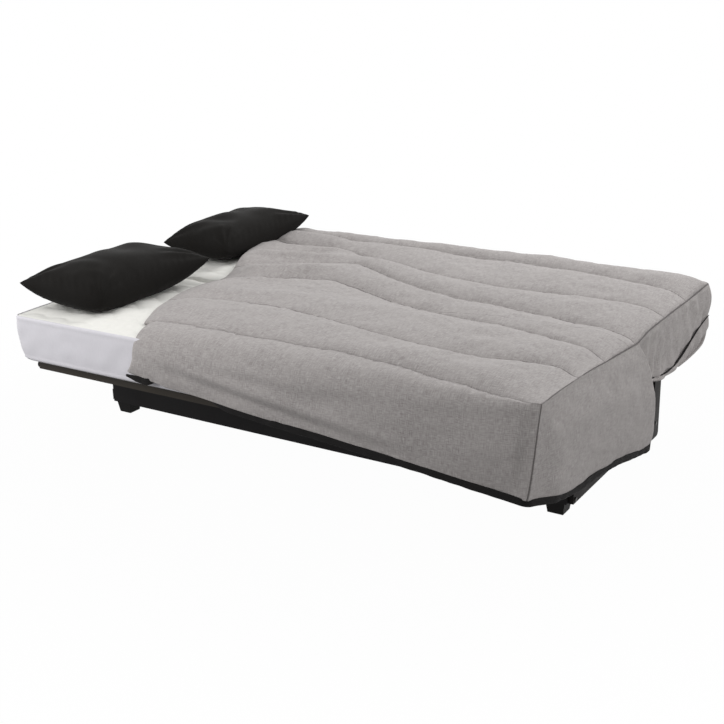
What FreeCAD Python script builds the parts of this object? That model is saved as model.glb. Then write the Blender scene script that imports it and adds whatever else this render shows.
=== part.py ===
import FreeCAD, Part
import Sketcher
import math
import os

from FreeCAD import Placement, Rotation, Vector

# Click clack sofa bed, open as a flat bed.
# X runs along the bed, from the pillows at -X to the foot end at +X.
# Y runs across it, from the seat half at -Y to the back half at +Y, and the fold lies at Y = 0.
# Z is height above the floor. The origin is on the floor under the middle of the bed.

SHEET = [
    # mattress
    ("mattress_head", 950, "mattress end at the pillows, from the middle of the bed"),
    ("mattress_foot", 943, "mattress end at the foot of the bed"),
    ("mattress_half", 660, "depth of each mattress half"),
    ("mattress_thick", 150, "mattress thickness at its edges"),
    ("mattress_crown", 14, "rise of the mattress in the middle of each half"),
    ("mattress_round", 15, "rounding of the mattress border"),
    ("fold_gap", 3, "half the gap between the mattress halves"),
    ("fold_relief", 20, "distance of the top edges from the fold"),
    ("notch_inset", 75, "length of the end notches that the hinge plates stand in"),
    ("notch_half", 130, "half width of the end notches"),
    # frames
    ("frame_height", 258, "underside of the seat and back frames"),
    ("tube_size", 25, "outside of the square tube"),
    ("tube_wall", 1.5, "wall of the square tube"),
    ("rail_inset", 32, "outer face of the long rails inside the mattress edge"),
    ("frame_gap", 10, "inner face of the inner rails, from the fold"),
    ("frame_end", 880, "outer face of the seat end tubes"),
    ("rail_end", 905, "end of the long rails"),
    ("cap_length", 7, "plastic cap on a rail end"),
    ("slat_count", 13, "slats in each half"),
    ("slat_field", 790, "middle of the outermost slats"),
    ("slat_width", 53, "slat width"),
    ("slat_thick", 8, "slat thickness"),
    ("holder_floor", 2, "holder material under a slat"),
    ("holder_roof", 1.7, "holder material over a slat"),
    ("holder_side", 4, "holder material beside a slat"),
    ("soft_gap", 0.3, "clearance under soft pieces"),
    # hinge
    ("plate", 4, "steel plate thickness"),
    ("plate_gap", 0.5, "gap between neighbouring plates"),
    ("hinge_height", 435, "main hinge axis above the floor"),
    ("eye", 14, "radius of the plate eyes"),
    ("pin", 5, "radius of the main hinge pin"),
    ("pin_gap", 0.3, "clearance round the pins"),
    ("arm_near", 60, "arm foot, edge nearer the fold"),
    ("arm_far", 170, "arm foot, edge further from the fold"),
    # linkage
    ("link_front", 30, "lower pivot of the front links"),
    ("link_spacing", 160, "distance between front and rear links"),
    ("link_base", 130, "height of the lower pivots"),
    ("link_lean", 110, "how far the links lean forward in the bed position"),
    ("link_rise", 116, "height of the upper pivots above the lower ones"),
    ("link_half", 12, "half width of a link"),
    ("link_pin", 5, "radius of a link pin"),
    ("carriage_half", 100, "half width of the carriage plate foot"),
    ("carriage_under", 14, "carriage plate below its link pivots"),
    # ratchet
    ("ratchet", 60, "radius of the ratchet sector"),
    ("tooth", 6, "radius of a ratchet notch"),
    ("nose", 4.5, "radius of the pawl nose"),
    ("pawl_reach", 60, "pawl pivot to nose"),
    ("pawl_drop", 77, "pawl pivot below the hinge axis"),
    ("pawl_half", 5, "half width of the pawl arm"),
    ("pawl_open", 10, "angle from the open pawl to the closed one"),
    ("raise_full", 70, "back angle in the sofa position"),
    ("raise_half", 40, "back angle in the resting position"),
    # base
    ("foot_height", 41, "height of the front feet"),
    ("foot_top", 61, "front foot, side at the top"),
    ("foot_taper", 6, "front foot, taper of each side"),
    ("foot_inset", 21, "front foot inside the end of the base tubes"),
    ("base_front", 304, "front face of the front base tube"),
    ("base_rear", 400, "rear face of the rear base tube"),
    ("board", 12, "storage box board"),
    ("floor_board", 6, "storage box floor"),
    ("box_end", 886, "end of the storage box"),
    ("box_top", 252, "top of the front and rear boards"),
    ("end_board_top", 215, "top of the end boards"),
    ("pad_length", 30, "rest pad length"),
    ("leg_front", 363, "rear leg, front edge"),
    ("leg_width", 60, "rear leg width along the bed side"),
    ("leg_flange", 40, "rear leg flange"),
    ("leg_sheet", 3, "rear leg steel thickness"),
    ("leg_top", 250, "rear leg top"),
    ("leg_round", 15, "rounded lower corner of the rear leg"),
    ("bolt", 4, "bolt radius"),
    ("bolt_head", 6.5, "bolt head radius"),
    ("bolt_head_thick", 4, "bolt head height"),
    # cover
    ("cover_foot", 965, "cover end at the foot of the bed"),
    ("cover_stand", 25, "outside of the cover beyond the mattress edge"),
    ("cover_seam", 470, "height of the quilting seams"),
    ("cover_puff", 18, "rise of a quilted channel over its seams"),
    ("cover_step", 0.5, "cover underside above the mattress"),
    ("cover_lip", 2.5, "cover thickness at the fold"),
    ("channel", 220, "width of a quilted channel"),
    ("edge_turn", 30, "outermost seam inside the outside of the cover"),
    ("end_turn", 30, "last full station of the quilting inside the foot end"),
    ("cover_head_front", 420, "head edge of the cover at the front"),
    ("cover_head_fold", 620, "head edge of the cover at the fold"),
    ("cover_head_rear", 840, "head edge of the cover at the rear"),
    ("cloth", 8, "thickness of the hanging cover panels"),
    ("hem", 20, "width of the dark hem"),
    ("fold_depth", 5, "depth of the soft folds in the front skirt"),
    ("skirt_foot_low", 203, "hem of the front skirt at the foot end"),
    ("skirt_mid_low", 293, "hem of the front skirt further along"),
    ("skirt_head_low", 337, "hem of the front skirt at the head edge"),
    ("skirt_level", 100, "length of the level stretch of hem at the foot end"),
    ("skirt_past", 30, "skirt past the head edge of the cover"),
    ("panel_knee", 270, "height where the rear edge of the end panel turns down"),
    ("panel_corner", 60, "rear corner of the end panel above its hem"),
    ("skirt_mid", 177, "place of the middle hem height"),
    ("end_panel_gap", 3, "gap between the two end panels"),
    ("end_hem_rear", 75, "hem of the end panel at its rear corner"),
    ("end_hem_mid", 150, "hem of the end panel at the middle of the seat"),
    ("back_under", 244, "underside of the back cover"),
    ("back_bulge", 19, "bulge of the back cover beyond its outer edge"),
    ("bulge_height", 380, "height of the furthest point of the back cover"),
    ("back_turn", 50, "height of the bulge's lower end above the underside"),
    ("under_cloth", 6, "thickness of the cover round the back"),
    ("under_clear", 12, "inner edge of the cover under the back frame, behind the rear legs"),
    ("piping_low", 44, "front end of the piping above the underside"),
    ("piping_rise", 76, "rise of the piping to its rear end"),
    ("piping", 2.5, "radius of the piping"),
    # pillows
    ("pillow_width", 330, "pillow across"),
    ("pillow_pinch", 12, "how far the long sides draw in"),
    ("pillow_thick", 160, "pillow thickness"),
    ("pillow_inset", 20, "outer end of the front pillow inside the mattress edge"),
    ("pillow_length", 548, "pillow end to end"),
    ("pillow_perch", 5.6, "lowest point of the rear pillow above the quilting seams"),
    ("pillow_shift", 18, "rear pillow further from the fold"),
    ("pillow_front_x", 800, "middle of the front pillow from the middle of the bed"),
    ("pillow_rear_x", 805, "middle of the rear pillow from the middle of the bed"),
]

doc = FreeCAD.newDocument("sofa_bed")
sheet = doc.addObject("Spreadsheet::Sheet", "dims")
for row, (alias, number, note) in enumerate(SHEET, start=1):
    sheet.set(f"A{row}", note)
    sheet.set(f"B{row}", str(number))
    sheet.setAlias(f"B{row}", alias)
doc.recompute()
value = {alias: number for alias, number, note in SHEET}


class Size:
    """A size as the sheet expression that gives it, with its value, so that a sketch starts in place."""

    def __init__(self, text, number):
        self.text = text
        self.number = number

    def join(self, sign, other, number, swap=False):
        first, second = (other, self) if swap else (self, other)
        return Size(f"({text_of(first)} {sign} {text_of(second)})", number)

    def __add__(self, other):
        return self.join("+", other, self.number + number_of(other))

    def __sub__(self, other):
        return self.join("-", other, self.number - number_of(other))

    def __mul__(self, other):
        return self.join("*", other, self.number * number_of(other))

    def __truediv__(self, other):
        return self.join("/", other, self.number / number_of(other))

    def __neg__(self):
        return Size(f"(-1 * {self.text})", -self.number)

    def __rsub__(self, other):
        return self.join("-", other, number_of(other) - self.number, swap=True)

    __radd__ = __add__
    __rmul__ = __mul__


def text_of(size):
    return size.text if isinstance(size, Size) else str(size)


def number_of(size):
    return size.number if isinstance(size, Size) else size


def dim(alias):
    """A cell of the sheet as a Size."""
    return Size(f"dims.{alias}", value[alias])


def bind(thing, prop, size):
    """Bind a property to an expression on the sheet."""
    thing.setExpression(prop, text_of(size))


pieces = []


def keep(label, thing):
    """Name a finished piece of the sofa bed."""
    thing.Label = label
    pieces.append(thing)
    return thing


def mirrored(label, source):
    """The same piece at the other end of the bed."""
    twin = doc.addObject("Part::Mirroring", label + "_mirror")
    twin.Source = source
    twin.Normal = Vector(1, 0, 0)
    return keep(label, twin)


def pair(label, source):
    """Keep a piece made at the foot end, and its twin at the head end."""
    keep(label + "_right", source)
    mirrored(label + "_left", source)


def box(name, x, y, z):
    """A block between two sizes on each axis."""
    block = doc.addObject("Part::Box", name)
    for side, axis, (low, high) in (("Length", "x", x), ("Width", "y", y), ("Height", "z", z)):
        bind(block, side, high - low)
        bind(block, f"Placement.Base.{axis}", low)
    return block


def rod(name, x, y, z, radius):
    """A round bar along X between two sizes, at a height and depth."""
    bar = doc.addObject("Part::Cylinder", name)
    bar.Placement = Placement(Vector(0, 0, 0), Rotation(Vector(0, 1, 0), 90))
    low, high = x
    bind(bar, "Radius", radius)
    bind(bar, "Height", high - low)
    bind(bar, "Placement.Base.x", low)
    bind(bar, "Placement.Base.y", y)
    bind(bar, "Placement.Base.z", z)
    return bar


def cut(name, base, tool):
    result = doc.addObject("Part::Cut", name)
    result.Base = base
    result.Tool = tool
    return result


def fuse(name, parts):
    result = doc.addObject("Part::MultiFuse", name)
    result.Shapes = parts
    return result


def group(name, parts):
    """Several like solids that share one node."""
    result = doc.addObject("Part::Compound", name)
    result.Links = parts
    return result


def tube(name, x, y, z, along):
    """A square tube: a block less the block of its bore, which runs out at both ends."""
    wall = dim("tube_wall")
    bore = {axis: (low + wall, high - wall) for axis, (low, high) in (("x", x), ("y", y), ("z", z))}
    bore[along] = {"x": x, "y": y}[along]
    outer = box(name + "_outer", x, y, z)
    inner = box(name + "_bore", bore["x"], bore["y"], bore["z"])
    return cut(name, outer, inner)


def sketch_in(body, name):
    """A sketch on the body's own YZ plane: its axes are Y and Z."""
    sketch = body.newObject("Sketcher::SketchObject", name)
    plane = [item for item in body.Origin.OriginFeatures if item.Role == "YZ_Plane"][0]
    sketch.AttachmentSupport = [(plane, "")]
    sketch.MapMode = "FlatFace"
    return sketch


def place_point(sketch, geometry, point, y, z):
    """Fix a point of a sketch by its distance from the origin along both axes."""
    for kind, size in (("DistanceX", y), ("DistanceY", z)):
        index = sketch.addConstraint(Sketcher.Constraint(kind, -1, 1, geometry, point, number_of(size)))
        if isinstance(size, Size):
            sketch.setExpression(f"Constraints[{index}]", size.text)


def polygon(body, name, corners):
    """A closed outline of straight lines."""
    sketch = sketch_in(body, name)
    spots = [Vector(number_of(y), number_of(z), 0) for y, z in corners]
    lines = [sketch.addGeometry(Part.LineSegment(spots[i], spots[(i + 1) % len(spots)]), False)
             for i in range(len(spots))]
    for i, line in enumerate(lines):
        sketch.addConstraint(Sketcher.Constraint("Coincident", line, 2, lines[(i + 1) % len(lines)], 1))
    for line, (y, z) in zip(lines, corners):
        place_point(sketch, line, 1, y, z)
    return sketch


def circle(body, name, y, z, radius):
    sketch = sketch_in(body, name)
    centre = Vector(number_of(y), number_of(z), 0)
    ring = sketch.addGeometry(Part.Circle(centre, Vector(0, 0, 1), number_of(radius)), False)
    place_point(sketch, ring, 3, y, z)
    index = sketch.addConstraint(Sketcher.Constraint("Radius", ring, number_of(radius)))
    if isinstance(radius, Size):
        sketch.setExpression(f"Constraints[{index}]", radius.text)
    return sketch


def plate(name, x, thickness, outlines, eyes, holes, y=0.0, z=0.0, angle=0.0):
    """A flat steel part in the YZ plane: outlines and round eyes added up, then round holes."""
    body = doc.addObject("PartDesign::Body", name)
    profiles = [polygon(body, f"{name}_outline_{i}", corners) for i, corners in enumerate(outlines)]
    profiles += [circle(body, f"{name}_eye_{i}", *eye) for i, eye in enumerate(eyes)]
    for i, profile in enumerate(profiles):
        pad = body.newObject("PartDesign::Pad", f"{name}_pad_{i}")
        pad.Profile = profile
        bind(pad, "Length", thickness)
    doc.recompute()
    for i, hole in enumerate(holes):
        drill = body.newObject("PartDesign::Pocket", f"{name}_hole_{i}")
        drill.Profile = circle(body, f"{name}_hole_outline_{i}", *hole)
        drill.Type = 1
        drill.Midplane = True
        before = body.Shape.Volume
        doc.recompute()
        if not body.Shape.Volume < before:
            raise SystemExit(f"{name}: hole {i} cuts nothing")
    body.Placement = Placement(Vector(0, 0, 0), Rotation(Vector(1, 0, 0), number_of(angle)))
    bind(body, "Placement.Base.x", x)
    bind(body, "Placement.Base.y", y)
    bind(body, "Placement.Base.z", z)
    if isinstance(angle, Size):
        bind(body, "Placement.Rotation.Angle", angle)
    return body


# Planes of the plates at each end of the bed, from the seat arm outwards
seat_arm_x = dim("frame_end")
back_arm_x = seat_arm_x + dim("plate") + dim("plate_gap")
carriage_x = back_arm_x + dim("plate") + dim("plate_gap")
link_x = carriage_x + dim("plate") + dim("plate_gap")
base_plate_x = link_x + dim("plate") + dim("plate_gap")
leg_x = base_plate_x + dim("plate")

frame_low = dim("frame_height")
frame_high = frame_low + dim("tube_size")
mattress_low = (frame_high + dim("holder_floor") + dim("slat_thick") + dim("holder_roof")
                + dim("soft_gap"))
mattress_high = mattress_low + dim("mattress_thick")
frame_reach = dim("mattress_half") - dim("rail_inset")
hinge_z = dim("hinge_height")
carriage_pivot_z = dim("link_base") + dim("link_rise")
carriage_low = carriage_pivot_z - dim("carriage_under")


def storage_base():
    """The fixed base: two tubes on feet and legs, steel end plates, and the bedding box."""
    tube_low = dim("foot_height")
    tube_high = tube_low + dim("tube_size")
    ends = (-base_plate_x, base_plate_x)
    front = (-dim("base_front"), dim("tube_size") - dim("base_front"))
    rear = (dim("base_rear") - dim("tube_size"), dim("base_rear"))
    keep("base_front_tube", tube("base_front_tube", ends, front, (tube_low, tube_high), "x"))
    keep("base_rear_tube", tube("base_rear_tube", ends, rear, (tube_low, tube_high), "x"))

    length = (-dim("box_end"), dim("box_end"))
    depth = (-dim("base_front"), dim("base_rear"))
    floor_high = tube_high + dim("floor_board")
    keep("storage_floor", box("storage_floor", length, depth, (tube_high, floor_high)))
    keep("storage_front_board", box("storage_front_board", length,
                                    (-dim("base_front") - dim("board"), -dim("base_front")),
                                    (tube_low, dim("box_top"))))
    keep("storage_rear_board", box("storage_rear_board", length,
                                   (dim("base_rear"), dim("base_rear") + dim("board")),
                                   (tube_low, dim("box_top"))))
    pair("storage_end_board", box("storage_end_board", (dim("box_end") - dim("board"), dim("box_end")),
                                  depth, (floor_high, dim("end_board_top"))))

    bolt_z = tube_low + dim("tube_size") / 2
    front_bolt_y = dim("tube_size") / 2 - dim("base_front")
    rear_bolt_y = dim("base_rear") - dim("tube_size") / 2
    bolt_hole = dim("bolt") + dim("pin_gap")
    hump = dim("link_base") + 2 * dim("eye")
    rear_link = dim("link_front") + dim("link_spacing")
    outline = [(-dim("base_front"), tube_low), (dim("base_rear"), tube_low),
               (dim("base_rear"), hump - dim("link_spacing") / 4),
               (rear_link + dim("link_half"), hump), (dim("link_front") - dim("link_half"), hump),
               (-dim("base_front"), tube_high + dim("eye"))]
    pivot_hole = dim("link_pin") + dim("pin_gap")
    pair("mechanism_plate", plate(
        "mechanism_plate", base_plate_x, dim("plate"), [outline], [],
        [(dim("link_front"), dim("link_base"), pivot_hole), (rear_link, dim("link_base"), pivot_hole),
         (front_bolt_y, bolt_z, bolt_hole), (rear_bolt_y, bolt_z, bolt_hole)]))

    foot = doc.addObject("Part::Wedge", "front_foot")
    side, taper = dim("foot_top"), dim("foot_taper")
    for prop, size in (("Xmin", taper), ("Xmax", side - taper), ("Zmin", taper), ("Zmax", side - taper),
                       ("X2min", 0.0), ("X2max", side), ("Z2min", 0.0), ("Z2max", side),
                       ("Ymin", 0.0), ("Ymax", tube_low)):
        bind(foot, prop, size)
    foot.Placement = Placement(Vector(0, 0, 0), Rotation(Vector(1, 0, 0), 90))
    bind(foot, "Placement.Base.x", base_plate_x - dim("foot_inset") - side)
    bind(foot, "Placement.Base.y", side - taper - dim("base_front"))
    pair("front_foot", foot)

    leg_y = dim("leg_front")
    leg_back = leg_y + dim("leg_width")
    web = plate("rear_leg_web", leg_x, dim("leg_sheet"),
                [[(leg_y, 0.0), (leg_back - dim("leg_round"), 0.0), (leg_back, dim("leg_round")),
                  (leg_back, dim("leg_top")), (leg_y, dim("leg_top"))]],
                [(leg_back - dim("leg_round"), dim("leg_round"), dim("leg_round"))],
                [(rear_bolt_y, bolt_z, bolt_hole)])
    flange = box("rear_leg_flange", (leg_x - dim("leg_flange"), leg_x + dim("leg_sheet")),
                 (leg_back - dim("leg_sheet"), leg_back), (dim("leg_round"), dim("leg_top")))
    pair("rear_leg", fuse("rear_leg", [web, flange]))

    pads = []
    pad_x = dim("frame_end") - dim("tube_size") / 2
    for end, sign in (("right", 1), ("left", -1)):
        for edge, low in (("front", -dim("base_front") - dim("board")), ("rear", dim("base_rear"))):
            middle = sign * pad_x
            pads.append(box(f"rest_pad_{edge}_{end}",
                            (middle - dim("pad_length") / 2, middle + dim("pad_length") / 2),
                            (low, low + dim("board")),
                            (dim("box_top"), frame_low - dim("soft_gap"))))
    keep("rest_pads", group("rest_pads", pads))

    def bolt(name, y, seat):
        head = rod(name + "_head", (seat, seat + dim("bolt_head_thick")), y, bolt_z, dim("bolt_head"))
        shank = rod(name + "_shank", (base_plate_x - 2 * dim("plate"), seat), y, bolt_z, dim("bolt"))
        return fuse(name, [head, shank])

    bolts = group("base_bolts_right", [bolt("front_bolt", front_bolt_y, leg_x),
                                       bolt("rear_bolt", rear_bolt_y, leg_x + dim("leg_sheet"))])
    twins = doc.addObject("Part::Mirroring", "base_bolts_left")
    twins.Source = bolts
    twins.Normal = Vector(1, 0, 0)
    keep("base_bolts", group("base_bolts", [bolts, twins]))

    pins = link_pins("link_lower_pin", link_x - dim("plate_gap") / 2, leg_x + 1.0, dim("link_front"),
                     dim("link_base"))
    keep("link_lower_pins", pins)


def link_pins(name, inner, outer, front, height):
    """Four link pins, two at each end, as one group."""
    right = [rod(f"{name}_{place}", (inner, outer), y, height, dim("link_pin"))
             for place, y in (("front", front), ("rear", front + dim("link_spacing")))]
    near = group(name + "_right", right)
    far = doc.addObject("Part::Mirroring", name + "_left")
    far.Source = near
    far.Normal = Vector(1, 0, 0)
    return group(name, [near, far])


def links():
    """Four equal links, leaning forward, that carry the hinge carriage rearwards and back."""
    lean, rise = dim("link_lean"), dim("link_rise")
    length = Size(f"sqrt({lean.text} ^ 2 + {rise.text} ^ 2)", math.hypot(lean.number, rise.number))
    angle = Size(f"atan({lean.text} / {rise.text})",
                 math.degrees(math.atan(lean.number / rise.number)))
    half = dim("link_half")
    hole = dim("link_pin") + dim("pin_gap")
    for place, y in (("front", dim("link_front")), ("rear", dim("link_front") + dim("link_spacing"))):
        name = f"link_{place}"
        outline = [(-half, 0.0), (half, 0.0), (half, length), (-half, length)]
        pair(name, plate(name, link_x, dim("plate"), [outline],
                         [(0.0, 0.0, half), (0.0, length, half)],
                         [(0.0, 0.0, hole), (0.0, length, hole)],
                         y=y, z=dim("link_base"), angle=angle))


def carriage():
    """The carriage: two plates joined by a tube, with the main hinge pins at the top."""
    half = dim("carriage_half")
    shoulder = carriage_pivot_z + dim("eye")
    front_pivot = dim("link_front") - dim("link_lean")
    rear_pivot = front_pivot + dim("link_spacing")
    outline = [(-half, carriage_low), (half, carriage_low), (half, shoulder),
               (dim("eye"), hinge_z), (-dim("eye"), hinge_z), (-half, shoulder)]
    hole = dim("link_pin") + dim("pin_gap")
    pair("carriage_plate", plate(
        "carriage_plate", carriage_x, dim("plate"), [outline], [(0.0, hinge_z, dim("eye"))],
        [(0.0, hinge_z, dim("pin") + dim("pin_gap")), (front_pivot, carriage_pivot_z, hole),
         (rear_pivot, carriage_pivot_z, hole)]))
    size = dim("tube_size")
    tube_high = frame_low - 2 * dim("plate")
    keep("carriage_tube", tube("carriage_tube", (-carriage_x, carriage_x), (-size / 2, size / 2),
                               (tube_high - size, tube_high), "x"))
    keep("link_upper_pins", link_pins("link_upper_pin", carriage_x - 2.0,
                                      link_x + dim("plate") + dim("plate_gap") / 2,
                                      front_pivot, carriage_pivot_z))
    outer = carriage_x + dim("plate")
    shank = rod("hinge_pin_shank", (seat_arm_x - dim("plate"), outer + dim("plate")), 0.0, hinge_z,
                dim("pin"))
    head = rod("hinge_pin_head", (outer, outer + dim("plate")), 0.0, hinge_z, 2 * dim("pin"))
    nut = rod("hinge_pin_nut", (seat_arm_x - dim("plate"), seat_arm_x - dim("soft_gap")), 0.0, hinge_z,
              2 * dim("pin") - 1.0)
    pair("hinge_pin", fuse("hinge_pin", [shank, head, nut]))
    keep_pawl_pins()


def keep_pawl_pins():
    near = rod("pawl_pin_right", (back_arm_x, carriage_x), -dim("pawl_reach"), pawl_z, dim("bolt"))
    far = doc.addObject("Part::Mirroring", "pawl_pin_left")
    far.Source = near
    far.Normal = Vector(1, 0, 0)
    keep("pawl_pins", group("pawl_pins", [near, far]))


pawl_z = hinge_z - dim("pawl_drop")


def pawls():
    """The click pawls: a nose on an arm below the ratchet, drawn open."""
    reach, half, nose = dim("pawl_reach"), dim("pawl_half"), dim("nose")
    rise = dim("pawl_drop") - dim("ratchet") - 1.0
    arm = [(0.0, -half), (reach + half, -half), (reach + half, half), (0.0, half)]
    neck = [(reach - nose, 0.0), (reach + nose, 0.0), (reach + nose, rise), (reach - nose, rise)]
    pair("pawl", plate("pawl", back_arm_x, dim("plate"), [arm, neck],
                       [(0.0, 0.0, 1.6 * half), (reach, rise, nose)],
                       [(0.0, 0.0, dim("bolt") + dim("pin_gap"))],
                       y=-reach, z=pawl_z, angle=-dim("pawl_open")))


def arm_outline(sign):
    """A hinge arm from its foot on the end tube up to the eye, on one side of the fold."""
    near, far = sign * dim("arm_near"), sign * dim("arm_far")
    eye = dim("eye")
    elbow = sign * (dim("notch_half") - dim("plate") * 3)
    return [(far, frame_low), (near, frame_low), (-sign * (eye - 1), hinge_z - 5.0),
            (sign * (eye - 1), hinge_z + 5.0), (elbow, mattress_low - 2.0), (far, frame_high)]


def half_frame(side, sign, end_x, arm_x, ratchet):
    """One half's frame: two long rails, two end tubes, hinge arms, slats and slat holders."""
    size = dim("tube_size")
    tall = (frame_low, frame_high)

    def across(near, far):
        """A stretch of Y between two distances from the fold, on this half's side."""
        return (near, far) if sign > 0 else (-far, -near)

    outer = across(frame_reach - size, frame_reach)
    inner = across(dim("frame_gap"), dim("frame_gap") + size)
    run = across(dim("frame_gap"), frame_reach - size)
    edge = "front" if sign < 0 else "rear"
    keep(f"{side}_{edge}_rail", tube(f"{side}_{edge}_rail", (-dim("rail_end"), dim("rail_end")),
                                     outer, tall, "x"))
    keep(f"{side}_inner_rail", tube(f"{side}_inner_rail", (size - end_x, end_x - size), inner, tall, "x"))
    pair(f"{side}_end_tube", tube(f"{side}_end_tube", (end_x - size, end_x), run, tall, "y"))

    cap_middle = sign * (frame_reach - size / 2)
    cap = rod(f"{side}_cap", (dim("rail_end"), dim("rail_end") + dim("cap_length")), cap_middle,
              frame_low + size / 2, size / 2)
    cap_twin = doc.addObject("Part::Mirroring", f"{side}_cap_left")
    cap_twin.Source = cap
    cap_twin.Normal = Vector(1, 0, 0)
    keep(f"{side}_rail_caps", group(f"{side}_rail_caps", [cap, cap_twin]))

    eyes = [(0.0, hinge_z, dim("eye"))]
    holes = [(0.0, hinge_z, dim("pin") + dim("pin_gap"))]
    outlines = [arm_outline(sign)]
    if ratchet:
        outlines.append(ratchet_outline())
        holes += ratchet_notches()
    pair(f"{side}_arm", plate(f"{side}_arm", arm_x, dim("plate"), outlines, eyes, holes))

    slats = []
    holders = []
    slat_low = frame_high + dim("holder_floor")
    slat_high = slat_low + dim("slat_thick")
    clear = 0.1
    for i in range(int(value["slat_count"])):
        middle = i * 2 * dim("slat_field") / (dim("slat_count") - 1) - dim("slat_field")
        width = (middle - dim("slat_width") / 2, middle + dim("slat_width") / 2)
        reach = across(dim("frame_gap") + 3, frame_reach - 3)
        slats.append(box(f"{side}_slat_{i}", width, reach, (slat_low, slat_high)))
        for place, seat in (("outer", outer), ("inner", inner)):
            name = f"{side}_holder_{place}_{i}"
            block = box(name + "_block", (width[0] - dim("holder_side"), width[1] + dim("holder_side")),
                        seat, (frame_high, slat_high + dim("holder_roof")))
            mouth = box(name + "_mouth", (width[0] - clear, width[1] + clear), seat,
                        (slat_low, slat_high + clear))
            holders.append(cut(name, block, mouth))
    keep(f"{side}_slats", group(f"{side}_slats", slats))
    keep(f"{side}_slat_holders", group(f"{side}_slat_holders", holders))


def on_ratchet(angle):
    """Y and Z of a point on the ratchet's rim, at a back angle below the pawl nose."""
    radius = dim("ratchet")
    turn = math.radians(-90)
    number = turn - math.radians(number_of(angle))
    text = f"(-90deg - {text_of(angle)} * 1deg)"
    y = Size(f"({radius.text} * cos({text}))", radius.number * math.cos(number))
    z = Size(f"({hinge_z.text} + {radius.text} * sin({text}))",
             hinge_z.number + radius.number * math.sin(number))
    return y, z


def ratchet_outline():
    """The sector that carries the notches, from just past the nose to past the sofa position."""
    last = dim("raise_full") + 12
    steps = 8
    rim = [on_ratchet(last / steps * i) for i in range(steps + 1)]
    return [(0.0, hinge_z)] + [on_ratchet(-dim("tooth") * 1.5)] + rim


def ratchet_notches():
    stops = (Size("0", 0), dim("raise_half"), dim("raise_full"))
    return [(*on_ratchet(stop), dim("tooth")) for stop in stops]


# Soft pieces: their shapes come from sections of lines and arcs

def v(alias):
    return float(value[alias])


def wire(section):
    """A closed wire from corners, where a corner may name the middle point of the arc that ends there."""
    edges = []
    for i, (point, middle) in enumerate(section):
        last = section[i - 1][0]
        start, end = Vector(*last), Vector(*point)
        if middle is None:
            edges.append(Part.LineSegment(start, end).toShape())
        else:
            edges.append(Part.Arc(start, Vector(*middle), end).toShape())
    return Part.Wire(edges)


def loft(sections):
    return Part.makeLoft([wire(section) for section in sections], True, True)


def soft(label, shape):
    """Keep a soft piece whose shape is set from sections."""
    thing = doc.addObject("Part::Feature", label)
    thing.Shape = shape
    return keep(label, thing)


def prism(points, depth):
    """A straight solid on an outline."""
    return Part.Face(wire(points)).extrude(Vector(*depth))


cover_edge = v("mattress_half") + v("cover_stand")
cover_outer = v("cover_foot") - 2.5
mattress_bottom = mattress_low.number
mattress_edge = mattress_high.number
cover_under = mattress_edge + v("cover_step")


def mattress_section(x, sign, crown):
    """A mattress half across the bed: bulging border, crowned top and the slope into the fold."""
    half, rounding = v("mattress_half"), v("mattress_round")
    relief, gap = v("fold_relief"), v("fold_gap")
    shoulder = half - rounding * 0.3
    middle = (half + relief) / 2
    points = [((gap, mattress_bottom), None),
              ((half - 2, mattress_bottom), None),
              ((half - 2, mattress_edge - rounding),
               (half + 2, (mattress_bottom + mattress_edge - rounding) / 2)),
              ((half - rounding, mattress_edge), (shoulder, mattress_edge - rounding * 0.3)),
              ((relief, mattress_edge), (middle, mattress_edge + crown)),
              ((gap, mattress_edge - 2 * rounding), None)]
    return [((x, sign * y, z), None if arc is None else (x, sign * arc[0], arc[1]))
            for (y, z), arc in points]


def mattress(side, sign):
    """One half of the mattress, notched at both ends for the hinge plates."""
    head, foot, crown = v("mattress_head"), v("mattress_foot"), v("mattress_crown")
    border = 50
    stations = [(-head, 0.3), (border - head, 1), (foot - border, 1), (foot, 0.3)]
    body = loft([mattress_section(x, sign, crown * share) for x, share in stations])
    inset, half = v("notch_inset"), v("notch_half")
    start = min(0, sign * half)
    for low, high in ((-head, -head + inset), (foot - inset + (head - foot), foot)):
        body = body.cut(Part.makeBox(high - low, half, 2 * v("mattress_thick"),
                                     Vector(low, start, mattress_bottom - 1)))
    soft(f"{side}_mattress", body)


def quilt_section(x, sign, seam, puff):
    """The quilted top across one half: three channels between seams, and the turned outer edge."""
    relief, edge = v("fold_relief"), cover_edge
    first, second, third = v("channel"), 2 * v("channel"), cover_edge - v("edge_turn")
    border = v("mattress_half") - v("mattress_round")
    lip = cover_under + v("cover_lip")
    points = [((relief, cover_under), None),
              ((border, cover_under), ((border + relief) / 2, cover_under + v("mattress_crown"))),
              ((edge, cover_under), None),
              ((third, seam), (edge - 7, (cover_under + 2 * seam) / 3)),
              ((second, seam), ((second + third) / 2, seam + puff)),
              ((first, seam), ((first + second) / 2, seam + puff)),
              ((relief, lip), ((first + relief) / 2, (seam + lip) / 2 + 1.35 * puff))]
    return [((x, sign * y, z), None if arc is None else (x, sign * arc[0], arc[1]))
            for (y, z), arc in points]


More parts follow.
